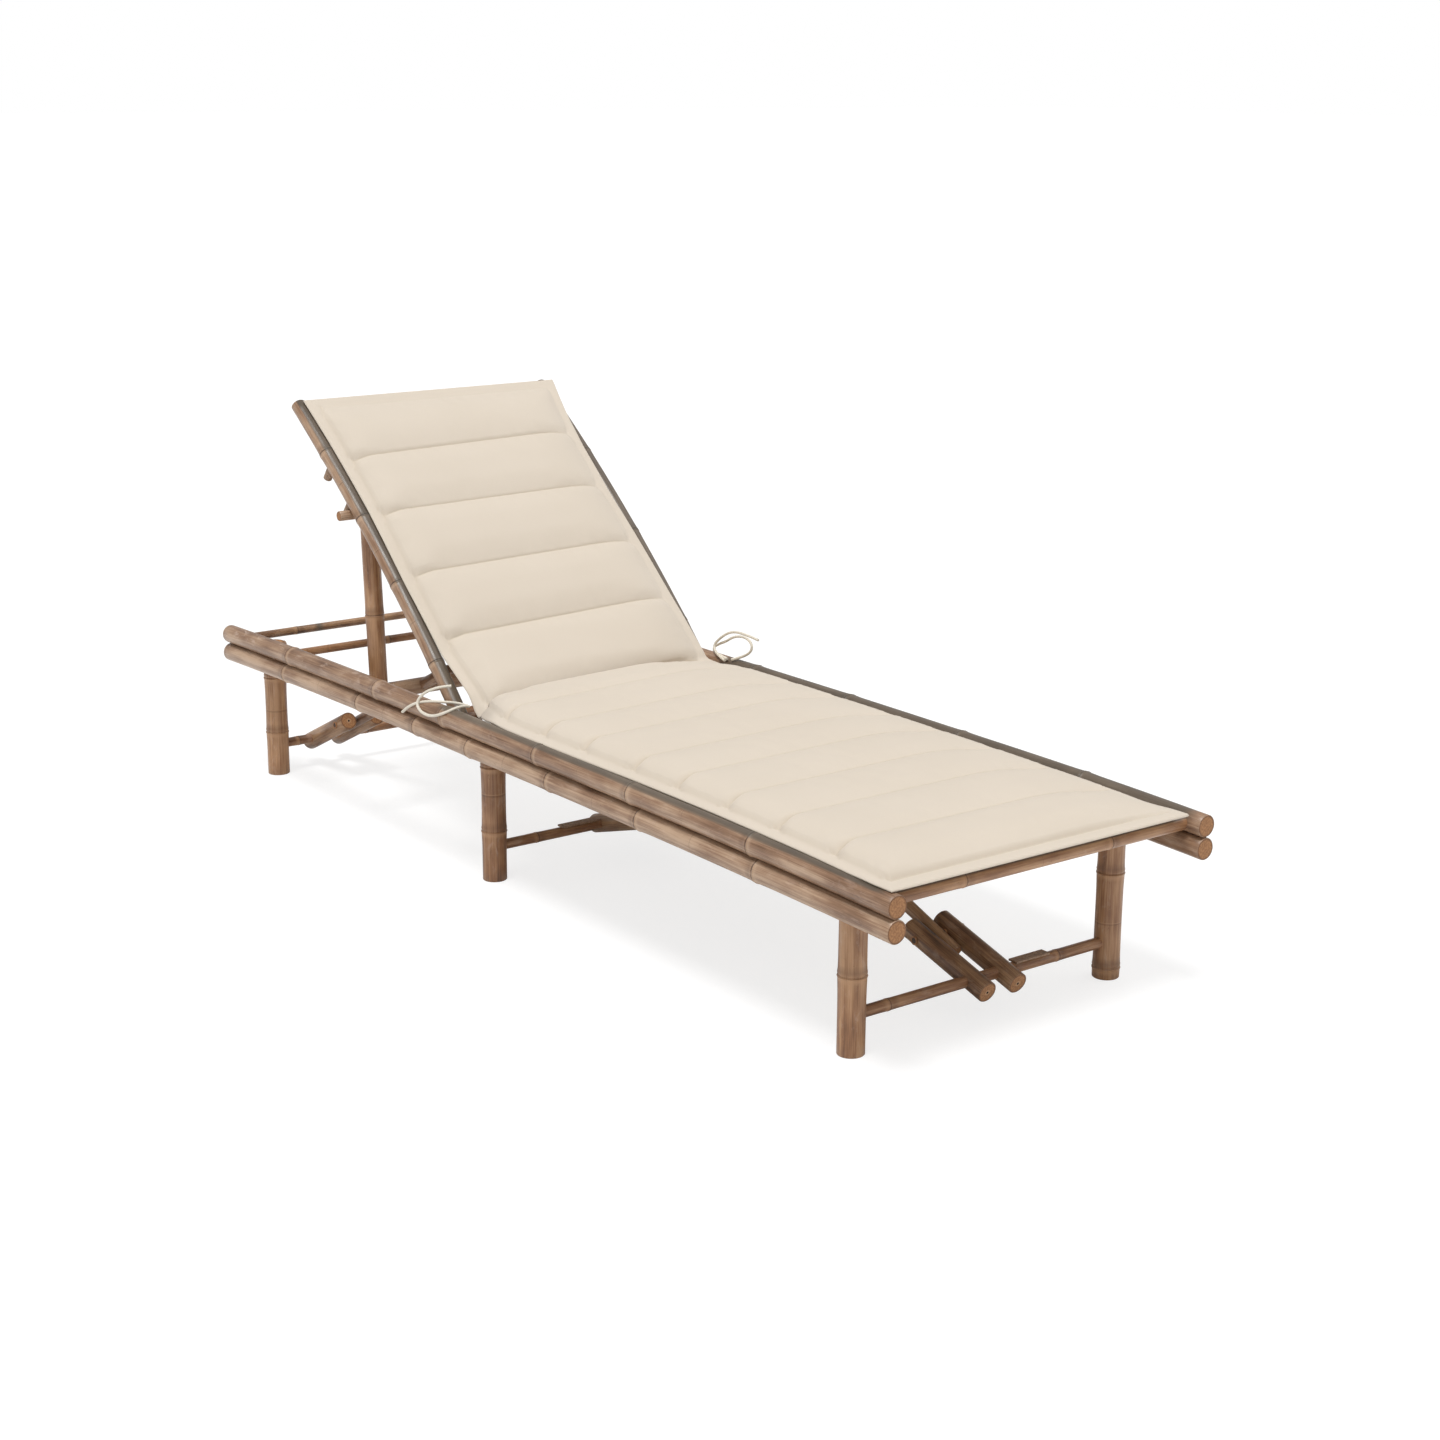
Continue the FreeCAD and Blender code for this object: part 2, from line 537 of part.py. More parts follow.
# Prop frame
rod_length = PROP_ROD_LENGTH_SHARE * BACK_CHORD
rod_depth = BACK_POLE_DIAMETER / 2 + PROP_ROD_DIAMETER / 2 + PROP_ROD_GAP
rod_at = back_point(rod_length, -rod_depth)
prop_rod = crossing(rod_at.y, rod_at.z, PROP_ROD_HALF_LENGTH, PROP_ROD_DIAMETER)
beam_at = point(0, HEAD_BEAM_Y, LOWER_RAIL_Z)
prop_way = (rod_at - beam_at).normalize()
prop_low = beam_at - prop_way * PROP_PAST_BEAM_LENGTH
prop_high = rod_at + prop_way * PROP_PAST_ROD_LENGTH
for name, side in (("prop_pole_right", -1), ("prop_pole_left", 1)):
    offset = point(side * PROP_POLE_X, 0, 0)
    prop_rings = (PROP_PAST_BEAM_LENGTH + PROP_RING_FROM_BEAM,)
    prop = pole(prop_low + offset, prop_high + offset, PROP_POLE_DIAMETER, prop_rings)
    prop = prop.cut(tenon_room)
    prop = prop.cut(prop_rod)
    exported(name, prop)
exported("prop_rod", prop_rod)

# Seat cushion: quilted pad on the slats with a thin hem lying on the rails
pad_low_z = SLAT_Z + SLAT_DIAMETER / 2
hem_low_z = UPPER_RAIL_Z + RAIL_DIAMETER / 2 + RING_RISE
pad_top_z = hem_low_z + PAD_HEIGHT
seam_z = pad_top_z - SEAM_DROP


def pad_section(half_width, low, top):
    """Rounded section across the pad, as a closed wire in X and Z"""
    inner = half_width - PAD_SIDE_ROUND
    side_z = low + PAD_SIDE_RISE
    waist_share = math.sqrt(0.5)
    bend_x = inner + PAD_SIDE_ROUND * waist_share
    bend_z = side_z + (top - side_z) * waist_share
    edges = [
        Part.makeLine(point(-half_width, 0, low), point(half_width, 0, low)),
        Part.makeLine(point(half_width, 0, low), point(half_width, 0, side_z)),
        Part.Arc(point(half_width, 0, side_z), point(bend_x, 0, bend_z), point(inner, 0, top)).toShape(),
        Part.makeLine(point(inner, 0, top), point(-inner, 0, top)),
        Part.Arc(point(-inner, 0, top), point(-bend_x, 0, bend_z), point(-half_width, 0, side_z)).toShape(),
        Part.makeLine(point(-half_width, 0, side_z), point(-half_width, 0, low)),
    ]
    return Part.Wire(edges)


def seat_profile():
    """Side view of the channels, closed along the flat underside"""
    start = point(0, SEAT_SEAM_YS[0], pad_low_z)
    edges = [Part.makeLine(start, point(0, SEAT_SEAM_YS[0], seam_z))]
    ends = list(SEAT_SEAM_YS) + [SEAT_END_Y]
    for first, second in zip(ends[:-1], ends[1:]):
        crest = point(0, (first + second) / 2, pad_top_z)
        edges.append(Part.Arc(point(0, first, seam_z), crest, point(0, second, seam_z)).toShape())
    edges.append(Part.makeLine(point(0, SEAT_END_Y, seam_z), point(0, SEAT_END_Y, pad_low_z)))
    edges.append(Part.makeLine(point(0, SEAT_END_Y, pad_low_z), start))
    return Part.Wire(edges)


pad_half = CUSHION_WIDTH / 2 - HEM_WIDTH
channels = Part.Face(seat_profile()).extrude(point(2 * pad_half, 0, 0))
channels.translate(point(-pad_half, 0, 0))
across = Part.Face(pad_section(pad_half, pad_low_z, pad_top_z + PAD_SECTION_SPARE))
across.translate(point(0, CUSHION_FOOT_Y, 0))
envelope = across.extrude(point(0, SEAT_END_Y - CUSHION_FOOT_Y, 0))
pad = channels.common(envelope)
hem_corner = point(-CUSHION_WIDTH / 2, CUSHION_FOOT_Y, hem_low_z)
hem = Part.makeBox(CUSHION_WIDTH, SEAT_END_Y - CUSHION_FOOT_Y, HEM_THICKNESS, hem_corner)
seat_cushion = pad.fuse(hem)
seat_cushion.rotate(point(0, CUSHION_OFFSET_Y, 0), point(0, 0, 1), -CUSHION_SKEW_ANGLE)
seat_cushion.translate(point(CUSHION_OFFSET_X, 0, 0))


def wedge(angle, reach):
    """Block with one face through the hinge line at an angle from the head end's direction"""
    turn = math.radians(angle)
    way = point(0, math.cos(turn), math.sin(turn))
    side = point(0, math.sin(turn), -math.cos(turn))
    start = hinge - point(reach, 0, 0) - way * reach
    corners = [start, start + way * (2 * reach), start + way * (2 * reach) + side * reach]
    corners.append(start + side * reach)
    corners.append(start)
    return Part.Face(Part.makePolygon(corners)).extrude(point(2 * reach, 0, 0))


seat_cushion = seat_cushion.cut(wedge(SEAT_END_ANGLE, CUSHION_WIDTH)).removeSplitter()
exported("seat_cushion", seat_cushion)

# Back cushion, following the backrest poles
back_low = BACK_POLE_DIAMETER / 2
back_top = back_low + BACK_PAD_HEIGHT
back_seam = back_top - SEAM_DROP
back_pad_low = back_low + HEM_THICKNESS / 2


def back_arc(first, second, height):
    middle = (first + second) / 2
    return Part.Arc(back_point(first, height), back_point(middle, height), back_point(second, height)).toShape()


first_length = BACK_SEAM_LENGTHS[0]
last_length = BACK_SEAM_LENGTHS[-1]
edges = [Part.makeLine(back_point(first_length, back_pad_low), back_point(first_length, back_seam))]
for first, second in zip(BACK_SEAM_LENGTHS[:-1], BACK_SEAM_LENGTHS[1:]):
    crest = back_point((first + second) / 2, back_top)
    edges.append(Part.Arc(back_point(first, back_seam), crest, back_point(second, back_seam)).toShape())
edges.append(Part.makeLine(back_point(last_length, back_seam), back_point(last_length, back_pad_low)))
edges.append(back_arc(last_length, first_length, back_pad_low))
back_half = BACK_CUSHION_WIDTH / 2
back_pad_half = back_half - HEM_WIDTH - BACK_WAIST_DROP / 2
channels = Part.Face(Part.Wire(edges)).extrude(point(2 * back_pad_half, 0, 0))
channels.translate(point(-back_pad_half, 0, 0))
section_low = arc_radius + back_low
section_top = arc_radius + back_top + PAD_SECTION_SPARE
section = Part.Face(pad_section(back_pad_half, section_low, section_top))
section.translate(point(0, arc_centre.y, arc_centre.z))
section.rotate(arc_centre, point(1, 0, 0), math.degrees(back_angle(first_length)) - 90)
envelope = section.revolve(arc_centre, point(-1, 0, 0), math.degrees((last_length - first_length) / arc_radius))
pad = channels.common(envelope)
pad.translate(point(-BACK_WAIST_DROP / 2, 0, 0))
hem_top = back_low + HEM_THICKNESS
hem_edges = [
    Part.makeLine(back_point(first_length, back_low), back_point(first_length, hem_top)),
    back_arc(first_length, BACK_HEM_END, hem_top),
    Part.makeLine(back_point(BACK_HEM_END, hem_top), back_point(BACK_HEM_END, back_low)),
    back_arc(BACK_HEM_END, first_length, back_low),
]
hem = Part.Face(Part.Wire(hem_edges)).extrude(point(BACK_CUSHION_WIDTH, 0, 0))
hem.translate(point(-back_half, 0, 0))


def plan_point(x, length):
    """Point in the plane of the backrest's chord, below every part of the cushion"""
    return hinge + chord_way * length - chord_up * BACK_PAD_HEIGHT + point(x, 0, 0)


# Far edge of the hem, drawn in between its corners by two arcs that meet at the waist
waist_x = back_half - BACK_WAIST_DROP
far_low = plan_point(back_half - BACK_FAR_LOW_DROP, 0)
low_bend = plan_point(back_half - BACK_FAR_BEND_DROP, BACK_WAIST_LENGTH / 2)
waist = plan_point(waist_x, BACK_WAIST_LENGTH)
high_bend = plan_point(back_half - BACK_FAR_BEND_DROP, (BACK_WAIST_LENGTH + BACK_HEM_END) / 2)
far_high = plan_point(back_half, BACK_CHORD)
outside_low = plan_point(BACK_CUSHION_WIDTH, 0)
outside_high = plan_point(BACK_CUSHION_WIDTH, BACK_CHORD)
outside_edges = [
    Part.Arc(far_low, low_bend, waist).toShape(),
    Part.Arc(waist, high_bend, far_high).toShape(),
    Part.makeLine(far_high, outside_high),
    Part.makeLine(outside_high, outside_low),
    Part.makeLine(outside_low, far_low),
]
outside = Part.Face(Part.Wire(outside_edges)).extrude(chord_up * (4 * BACK_PAD_HEIGHT))
back_cushion = pad.fuse(hem.cut(outside))
back_cushion.translate(point(BACK_CUSHION_OFFSET_X, 0, 0))
far_side = wedge(BACK_END_ANGLE + 180, 2 * CUSHION_WIDTH)
back_cushion = back_cushion.cut(far_side).removeSplitter()
exported("back_cushion", back_cushion)
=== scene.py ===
import functools
import math

import bpy
import numpy as np
from mathutils import Matrix, Vector


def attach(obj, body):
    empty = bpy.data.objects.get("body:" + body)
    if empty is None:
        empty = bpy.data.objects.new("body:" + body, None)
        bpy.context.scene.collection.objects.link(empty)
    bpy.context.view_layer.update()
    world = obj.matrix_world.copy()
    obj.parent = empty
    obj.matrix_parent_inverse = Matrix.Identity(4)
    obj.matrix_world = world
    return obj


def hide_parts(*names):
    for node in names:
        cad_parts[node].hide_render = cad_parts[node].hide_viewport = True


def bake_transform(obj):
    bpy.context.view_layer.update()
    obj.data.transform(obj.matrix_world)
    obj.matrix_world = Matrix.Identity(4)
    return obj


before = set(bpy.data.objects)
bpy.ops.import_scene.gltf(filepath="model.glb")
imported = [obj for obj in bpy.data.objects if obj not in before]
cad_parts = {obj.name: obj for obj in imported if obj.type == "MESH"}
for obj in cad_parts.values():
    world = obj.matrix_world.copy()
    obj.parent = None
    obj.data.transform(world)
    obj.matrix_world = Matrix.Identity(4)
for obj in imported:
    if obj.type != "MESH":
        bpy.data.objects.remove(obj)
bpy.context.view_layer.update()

# Real sizes in metres, the same as the part's
RAIL_HALF = 1.0
RAIL_D = 0.035
RAIL_X = 0.307
UPPER_Z = 0.273
LOWER_Z = 0.237
ROD_END_X = 0.300
LEG_D = 0.042
LEG_X = 0.260
LEG_TOP = 0.268
FOOT_LEG_Y = -0.855
MID_LEG_Y = 0.101
HEAD_LEG_Y = 0.908
STRETCHER_Z = 0.059
STRETCHER_D = 0.018
STRETCHER_END_X = 0.272
FORK_D = 0.034
FORK_TAIL = 0.035
FORK_LENGTH = 0.180
STRUT_PAST_KNEE = 0.045
STRUT_TAIL_D = 0.0186
STRUT_KNEE_D = 0.020
BOLT_HEAD_D = 0.014
BEAM_Y = -0.377
HEAD_BEAM_Y = 0.545
HEAD_BEAM_D = 0.0305
HEAD_BEAM_SHOULDER_X = 0.208
TENON_D = 0.018
SHOULDER_RUN = 0.0001
HINGE_Y = 0.205
BACK_D = 0.028
BACK_BAR_D = 0.016
BACK_RIGHT_X = -0.262
BACK_LEFT_X = 0.272
BACK_CHORD = 0.733
BACK_SAGITTA = 0.018
BACK_DEGREES = 40.6
BACK_TAIL = 0.020
BAR_INSET = 0.006
PROP_X = 0.230
PROP_D = 0.034
PROP_ROD_D = 0.018
PROP_ROD_HALF = 0.292
PROP_ROD_AT = 0.4687
PROP_ROD_GAP = 0.0003
PROP_PAST_ROD = 0.018
PROP_PAST_BEAM = 0.022
CORD_D = 0.005

# Shape of a bamboo node, at a pole diameter of NODE_D
NODE_D = 0.035
LEAST_NODE_SCALE = 0.6
# Ridge, groove, lip and broad swelling: rise, place along the pole and half width
NODE_RELIEF = (
    (0.0009, 0.0, 0.0013), (-0.0005, 0.0026, 0.0009), (0.0005, 0.0048, 0.0022), (0.0006, 0.0, 0.016),
)
ROWS_AT_NODE = (
    -0.020, -0.014, -0.010, -0.007, -0.005, -0.0035, -0.0024, -0.0015, -0.0007, 0.0,
    0.0007, 0.0014, 0.0020, 0.0026, 0.0032, 0.0040, 0.0050, 0.0065, 0.009, 0.013, 0.019,
)
FAR_FROM_NODE = 1.0

# Shape of a pole: rows, out-of-round, kinks at its nodes, bow and sawn ends
ROW_STEP = 0.020
ROW_DIGITS = 5
SIDES = 40
RING_POINTS = SIDES + 1
TURN = np.linspace(0, 2 * math.pi, RING_POINTS)
OVAL_SHARE = 0.010
LOBE_SHARE = 0.005
WHOLE_TURN = 6.28
KINK_SIDE = 0.0009
KINK_UP = 0.0003
BOW_POWER = 3
END_BREAK = 0.001
END_SHARES = (1.0, 0.8, 0.55, 0.3)
PITH_SHARE = 0.09
PITH_DEPTH = 0.006
# Rings of the pith hole: shares of its radius and of its depth
PITH_WALL = ((1.25, 0.0), (1.0, 0.2), (0.8, 1.0))
# Poles that lean less than this share along x take their axes from x, others from y
MOSTLY_ALONG_X = 0.9


def rng(seed):
    return np.random.RandomState(seed)


def bell(distance, width):
    return np.exp(-(distance / width) ** 2)


def relief(distance, diameter):
    """Height of a node's relief at signed distances from it"""
    scale = diameter / NODE_D
    d = distance / max(scale, LEAST_NODE_SCALE)
    return scale * sum(rise * bell(d - at, half) for rise, at, half in NODE_RELIEF)


def straight(start, end):
    """A line for bamboo: its length, and a function for its place and way at a length"""
    start = Vector(start)
    span = Vector(end) - start
    way = span.normalized()
    return span.length, lambda at: (start + way * at, way)


def across(half, y, z):
    return straight((-half, y, z), (half, y, z))


def pole_rows(length, rings, outline):
    """Lengths of a pole's rows, closer together at its nodes"""
    rows = set(np.round(np.linspace(0.0, length, max(3, int(length / ROW_STEP) + 1)), ROW_DIGITS))
    rows.update([END_BREAK, length - END_BREAK])
    for ring in rings:
        for offset in ROWS_AT_NODE:
            if END_BREAK < ring + offset < length - END_BREAK:
                rows.add(round(ring + offset, ROW_DIGITS))
    rows.update(round(t, ROW_DIGITS) for t, _ in outline)
    return np.array(sorted(rows))


def pole_radius(t, diameter, rings, outline):
    """Radius at each row, and its signed distance from the nearest node"""
    width = np.full(len(t), diameter)
    if outline:
        width = np.interp(t, [place for place, _ in outline], [d for _, d in outline])
    radius = width / 2
    nearest = np.full(len(t), FAR_FROM_NODE)
    for ring in rings:
        d = t - ring
        radius = radius + relief(d, diameter)
        nearest = np.where(np.abs(d) < np.abs(nearest), d, nearest)
    radius[[0, -1]] -= END_BREAK
    return radius, nearest


def kinks(t, length, rings, reach, random, kink):
    """Offsets of the rows between random ones at the nodes, drawn for a straight pole as well"""
    drawn = [random.uniform(-1, 1) * reach for _ in rings]
    if not kink:
        drawn = [0.0] * len(drawn)
    return np.interp(t, [0.0, *rings, length], [0.0, *drawn, 0.0])


def pole_axes(way):
    """Two directions square to a pole's way"""
    beside = Vector((1, 0, 0)) if abs(way.x) < MOSTLY_ALONG_X else Vector((0, 1, 0))
    b = way.cross(beside).normalized()
    return b.cross(way).normalized(), b


def bands(first, count, flip=False):
    """Faces between count rings of points, numbered from first"""
    faces = []
    for ring in range(first, first + (count - 1) * RING_POINTS, RING_POINTS):
        for j in range(ring, ring + SIDES):
            quad = (j, j + 1, j + 1 + RING_POINTS, j + RING_POINTS)
            faces.append(quad[::-1] if flip else quad)
    return faces


def end_face(first, row, radius, outward, pith):
    """Points, grain places and faces of one sawn end, numbered from first"""
    centre, a, b, way = row
    rings = [(share, 0.0) for share in END_SHARES]
    if pith:
        rings += [(PITH_SHARE * share, -PITH_DEPTH * depth) for share, depth in PITH_WALL]
    points = []
    places = []
    for share, level in rings:
        r = radius * share
        grain = share * NODE_D / 2
        middle = centre + way * (outward * level)
        for angle in TURN:
            points.append(middle + a * (r * math.cos(angle)) + b * (r * math.sin(angle)))
            places.append((grain * math.cos(angle), grain * math.sin(angle)))
    points.append(middle)
    places.append((0.0, 0.0))
    hub = first + len(points) - 1
    faces = bands(first, len(rings), outward < 0)
    for j in range(hub - RING_POINTS, hub - 1):
        fan = (j, j + 1, hub)
        faces.append(fan if outward > 0 else fan[::-1])
    return points, places, faces


def mesh_of(name, verts, faces, uvs):
    """Mesh with a UV place for each point"""
    mesh = bpy.data.meshes.new(name)
    mesh.from_pydata(verts, [], faces)
    layer = mesh.uv_layers.new(name="UVMap")
    index = np.zeros(len(mesh.loops), int)
    mesh.loops.foreach_get("vertex_index", index)
    layer.data.foreach_set("uv", np.array(uvs)[index].ravel())
    return mesh


def mark_points(mesh, title, values):
    mesh.attributes.new(title, "FLOAT", "POINT").data.foreach_set("value", values)


def placed(name, data):
    """New object in the scene"""
    obj = bpy.data.objects.new(name, data)
    bpy.context.scene.collection.objects.link(obj)
    return obj


def bamboo(node, body, line, diameter, rings=(), seed=0, pith=False, kink=False, outline=(),
           look="cane", shade_and_scorch=None, pale=None, ring_mark=0.8, bow=(0.0, 0.0)):
    """One pole as a closed tube with nodes, in place of a CAD node. rings are lengths from its start,
    outline is pairs of length and diameter. The shade and highlight arguments are functions of place,
    outward way and length, from 0 to 1: painted shade where the pole lies beside the cushion, with a
    scorch mark on one rod, and a painted highlight on the pale wear spots of up-facing sides. bow is
    how far the middle stands off the straight line, in x and z."""
    length, place_at = line
    random = rng(seed + 11)
    t = pole_rows(length, rings, outline)
    radius, nearest = pole_radius(t, diameter, rings, outline)
    side = kinks(t, length, rings, KINK_SIDE, random, kink)
    lift = kinks(t, length, rings, KINK_UP, random, kink)
    phase = random.uniform(0, WHOLE_TURN, 3)
    tone = random.uniform(0, 1)
    verts = []
    uvs = []
    shades_and_scorches = []
    pales = []
    rows = []
    for i, at in enumerate(t):
        centre, way = place_at(at)
        a, b = pole_axes(way)
        bend = 1 - abs(2 * at / length - 1) ** BOW_POWER
        centre = centre + a * side[i] + b * lift[i] + Vector((bow[0] * bend, 0, bow[1] * bend))
        rows.append((centre, a, b, way))
        for angle in TURN:
            oval = OVAL_SHARE * math.cos(2 * angle + phase[0])
            lobe = LOBE_SHARE * math.cos(3 * angle + phase[1])
            outward = a * math.cos(angle) + b * math.sin(angle)
            verts.append(centre + outward * (radius[i] * (1 + oval + lobe)))
            uvs.append((angle * diameter / 2, at))
            # Per point: painted shade where the cushion lies beside the pole, with the scorch mark, and the
            # painted highlight
            shades_and_scorches.append(shade_and_scorch(centre, outward, at) if shade_and_scorch else 0.0)
            pales.append(pale(centre, outward, at) if pale else 0.0)
    faces = bands(0, len(t))
    skin_faces = len(faces)
    for row, outward in ((0, -1), (-1, 1)):
        points, places, end_faces = end_face(len(verts), rows[row], radius[row], outward, pith)
        verts += points
        uvs += places
        faces += end_faces
    mesh = mesh_of(node + "_cane", [tuple(v) for v in verts], faces, uvs)
    at_ends = len(verts) - len(shades_and_scorches)
    near_node = np.repeat(nearest, RING_POINTS).tolist()
    mark_points(mesh, "node_distance", near_node + [FAR_FROM_NODE] * at_ends)
    mark_points(mesh, "tone", [tone] * len(verts))
    mark_points(mesh, "ring_mark", [ring_mark] * len(verts))
    mark_points(mesh, "shade_and_scorch", shades_and_scorches + [0.0] * at_ends)
    mark_points(mesh, "pale", pales + [0.0] * at_ends)
    mesh.materials.append(material(look))
    mesh.materials.append(material("pith_grain" if pith else "end_grain"))
    marks = [0] * skin_faces + [1] * (len(faces) - skin_faces)
    mesh.polygons.foreach_set("material_index", marks)
    mesh.polygons.foreach_set("use_smooth", [mark == 0 for mark in marks])
    mesh.validate()
    obj = placed(node + "_cane", mesh)
    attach(obj, body)
    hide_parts(node)


# Short calls for shader nodes
def new_material(name):
    """Material with a Principled shader at its output, its node tree and that shader"""
    mat = bpy.data.materials.new(name)
    mat.use_nodes = True
    nodes = mat.node_tree.nodes
    nodes.clear()
    out = nodes.new("ShaderNodeOutputMaterial")
    shader = nodes.new("ShaderNodeBsdfPrincipled")
    mat.node_tree.links.new(shader.outputs[0], out.inputs[0])
    return mat, mat.node_tree, shader


def put(socket, value):
    """Give an input a number, a colour or another node's output"""
    if isinstance(value, (int, float)):
        socket.default_value = value
    elif isinstance(value, tuple):
        socket.default_value = value + (1.0,)
    else:
        socket.id_data.links.new(value, socket)


def maths(operation, *values):
    """Maths on numbers and node outputs, in the outputs' tree"""
    tree = next(value.id_data for value in values if isinstance(value, bpy.types.NodeSocket))
    node = tree.nodes.new("ShaderNodeMath")
    node.operation = operation
    for socket, value in zip(node.inputs, values):
        put(socket, value)
    return node.outputs[0]


def times(first, second):
    return maths("MULTIPLY", first, second)


def plus(first, second):
    return maths("ADD", first, second)


def minus(first, second):
    return maths("SUBTRACT", first, second)


def swing(pattern, least, more):
    return plus(least, times(pattern, more))


def from_half(value, size):
    """A pattern moved to swing about 0, and scaled"""
    return times(minus(value, 0.5), size)


def mixed(factor, first, second):
    node = factor.id_data.nodes.new("ShaderNodeMix")
    node.data_type = "RGBA"
    for socket, value in zip((node.inputs[0], node.inputs[6], node.inputs[7]), (factor, first, second)):
        put(socket, value)
    return node.outputs[2]


def ramp(value, stops):
    """Colours or greys by value; stops are pairs of value and colour or grey"""
    node = value.id_data.nodes.new("ShaderNodeValToRGB")
    while len(node.color_ramp.elements) < len(stops):
        node.color_ramp.elements.new(0.5)
    for element, (place, colour) in zip(node.color_ramp.elements, stops):
        element.position = place
        colour = colour if isinstance(colour, tuple) else (colour, colour, colour)
        element.color = colour + (1.0,)
    put(node.inputs[0], value)
    return node.outputs[0]


def noise_at(vector, scale, detail, roughness, distortion=0.0):
    node = vector.id_data.nodes.new("ShaderNodeTexNoise")
    names = ("Vector", "Scale", "Detail", "Roughness", "Distortion")
    for name, value in zip(names, (vector, scale, detail, roughness, distortion)):
        put(node.inputs[name], value)
    return node.outputs["Fac"]


def attribute(tree, name):
    node = tree.nodes.new("ShaderNodeAttribute")
    node.attribute_name = name
    return node.outputs["Fac"]


def uv_place(tree):
    node = tree.nodes.new("ShaderNodeUVMap")
    node.uv_map = "UVMap"
    return node.outputs[0]


def object_place(tree):
    return tree.nodes.new("ShaderNodeTexCoord").outputs["Object"]


def parts_of(vector):
    node = vector.id_data.nodes.new("ShaderNodeSeparateXYZ")
    put(node.inputs[0], vector)
    return node.outputs


def stretched(tree, u_scale, v_scale):
    """UV in metres with unlike scales across and along a pole, shifted by the pole's own tone"""
    u, v, _ = parts_of(uv_place(tree))
    join = tree.nodes.new("ShaderNodeCombineXYZ")
    scales = ((u, u_scale), (v, v_scale), (attribute(tree, "tone"), TONE_SHIFT))
    for socket, (value, scale) in zip(join.inputs, scales):
        put(socket, times(value, scale))
    return join.outputs[0]


def finished(mat, shader, colour, height, roughness, strength, depth):
    """The material with its colour, its roughness and a bump of that strength and depth in metres"""
    node = mat.node_tree.nodes.new("ShaderNodeBump")
    for name, value in (("Strength", strength), ("Distance", depth), ("Height", height)):
        put(node.inputs[name], value)
    for name, value in (("Base Color", colour), ("Roughness", roughness), ("Normal", node.outputs[0])):
        put(shader.inputs[name], value)
    return mat


# Colours of the materials
CANE_COLOURS = {
    "cane": ((0.120, 0.060, 0.032), (0.275, 0.160, 0.095), (0.480, 0.330, 0.220)),
    "warm_cane": ((0.105, 0.045, 0.020), (0.268, 0.128, 0.058), (0.450, 0.255, 0.130)),
    "brown_cane": ((0.050, 0.023, 0.012), (0.180, 0.090, 0.043), (0.400, 0.240, 0.130)),
}
# Pale of the wear spots; on the up-facing sides of the upper rails it is also a painted highlight
CANE_PALE = (0.620, 0.480, 0.390)
NODE_DARK = (0.040, 0.020, 0.012)
# Grey-brown of the painted shade beside the cushion, also of the scorch mark on the outer head crossbar
SHADE_AND_SCORCH_COLOUR = (0.075, 0.066, 0.050)
GRAIN_LIGHT = (0.420, 0.205, 0.085)
GRAIN_DARK = (0.190, 0.083, 0.034)
GRAIN_RIM = (0.130, 0.060, 0.028)
# Near-black painted shade inside the hollow of the pith hole
PITH_SHADE = (0.012, 0.007, 0.005)
PITH_RING = (0.520, 0.330, 0.190)
BOLT_DARK = (0.050, 0.023, 0.012)
DOWEL_DARK = (0.190, 0.110, 0.065)
DOWEL_LIGHT = (0.380, 0.250, 0.160)
CLOTH_COLOUR = (0.640, 0.562, 0.468)
CLOTH_SHADE = (0.602, 0.525, 0.430)
CLOTH_STITCH = (0.560, 0.480, 0.370)
CORD_COLOUR = (0.740, 0.690, 0.590)

# Patterns of bamboo skin: cells per metre around and along the pole, detail, roughness, distortion
CANE_PATTERNS = (
    (900.0, 14.0, 5.0, 0.65, 0.0),
    (170.0, 5.0, 4.0, 0.6, 0.3),
    (38.0, 12.0, 3.0, 0.5, 0.0),
    (70.0, 26.0, 6.0, 0.7, 0.6),
    (420.0, 90.0, 3.0, 0.6, 0.8),
)
TONE_SHIFT = 37.0
# Shares of fibre, streak, blotch and the pole's tone in its colour
PATTERN_SHARES = (0.34, 0.40, 0.40, 0.07)
CANE_STOPS = (0.43, 0.575, 0.72)
# Least wear, and how much the painted highlight on the upper rails' tops adds to it; least roughness, and
# how much a pattern adds
WEAR_AND_HIGHLIGHT = (0.20, 0.50)
SKIN_ROUGHNESS = (0.20, 0.34)
# Shares of fibre and weather in the bump
BUMP_SHARES = (0.6, 0.5)
# Wobble at the edge of the painted shade and of the scorch mark
SHADE_AND_SCORCH_EDGE = 1.1
NODE_WOBBLE = 0.0035
# Marks at a node: place beside it, and pairs of distance from that place and strength
MARK_REACH = 0.010
NODE_LINE = (0.0022, ((0.0, 1.0), (0.0009, 0.8), (0.0020, 0.0)))
NODE_BAND = (-0.0035, ((0.0, 0.6), (0.0022, 0.4), (0.0060, 0.0)))
NODE_SOOT = (0.0100, ((0.0, 0.8), (0.0060, 0.4), (0.0100, 0.0)))
# Finishes: roughness, strength of the bump and its depth in metres; the skin's roughness is a pattern
CANE_BUMP = (0.30, 0.0006)
SAWN_FINISH = (0.70, 0.25, 0.0004)
BOLT_FINISH = (0.60, 0.30, 0.0004)
CLOTH_FINISH = (0.90, 0.18, 0.0003)
CORD_FINISH = (0.85, 0.50, 0.0005)
DOWEL_FINISH = (0.60, 0.30, 0.0005)
# Sheen of the cloth: weight and roughness
SHEEN = (0.15, 0.50)
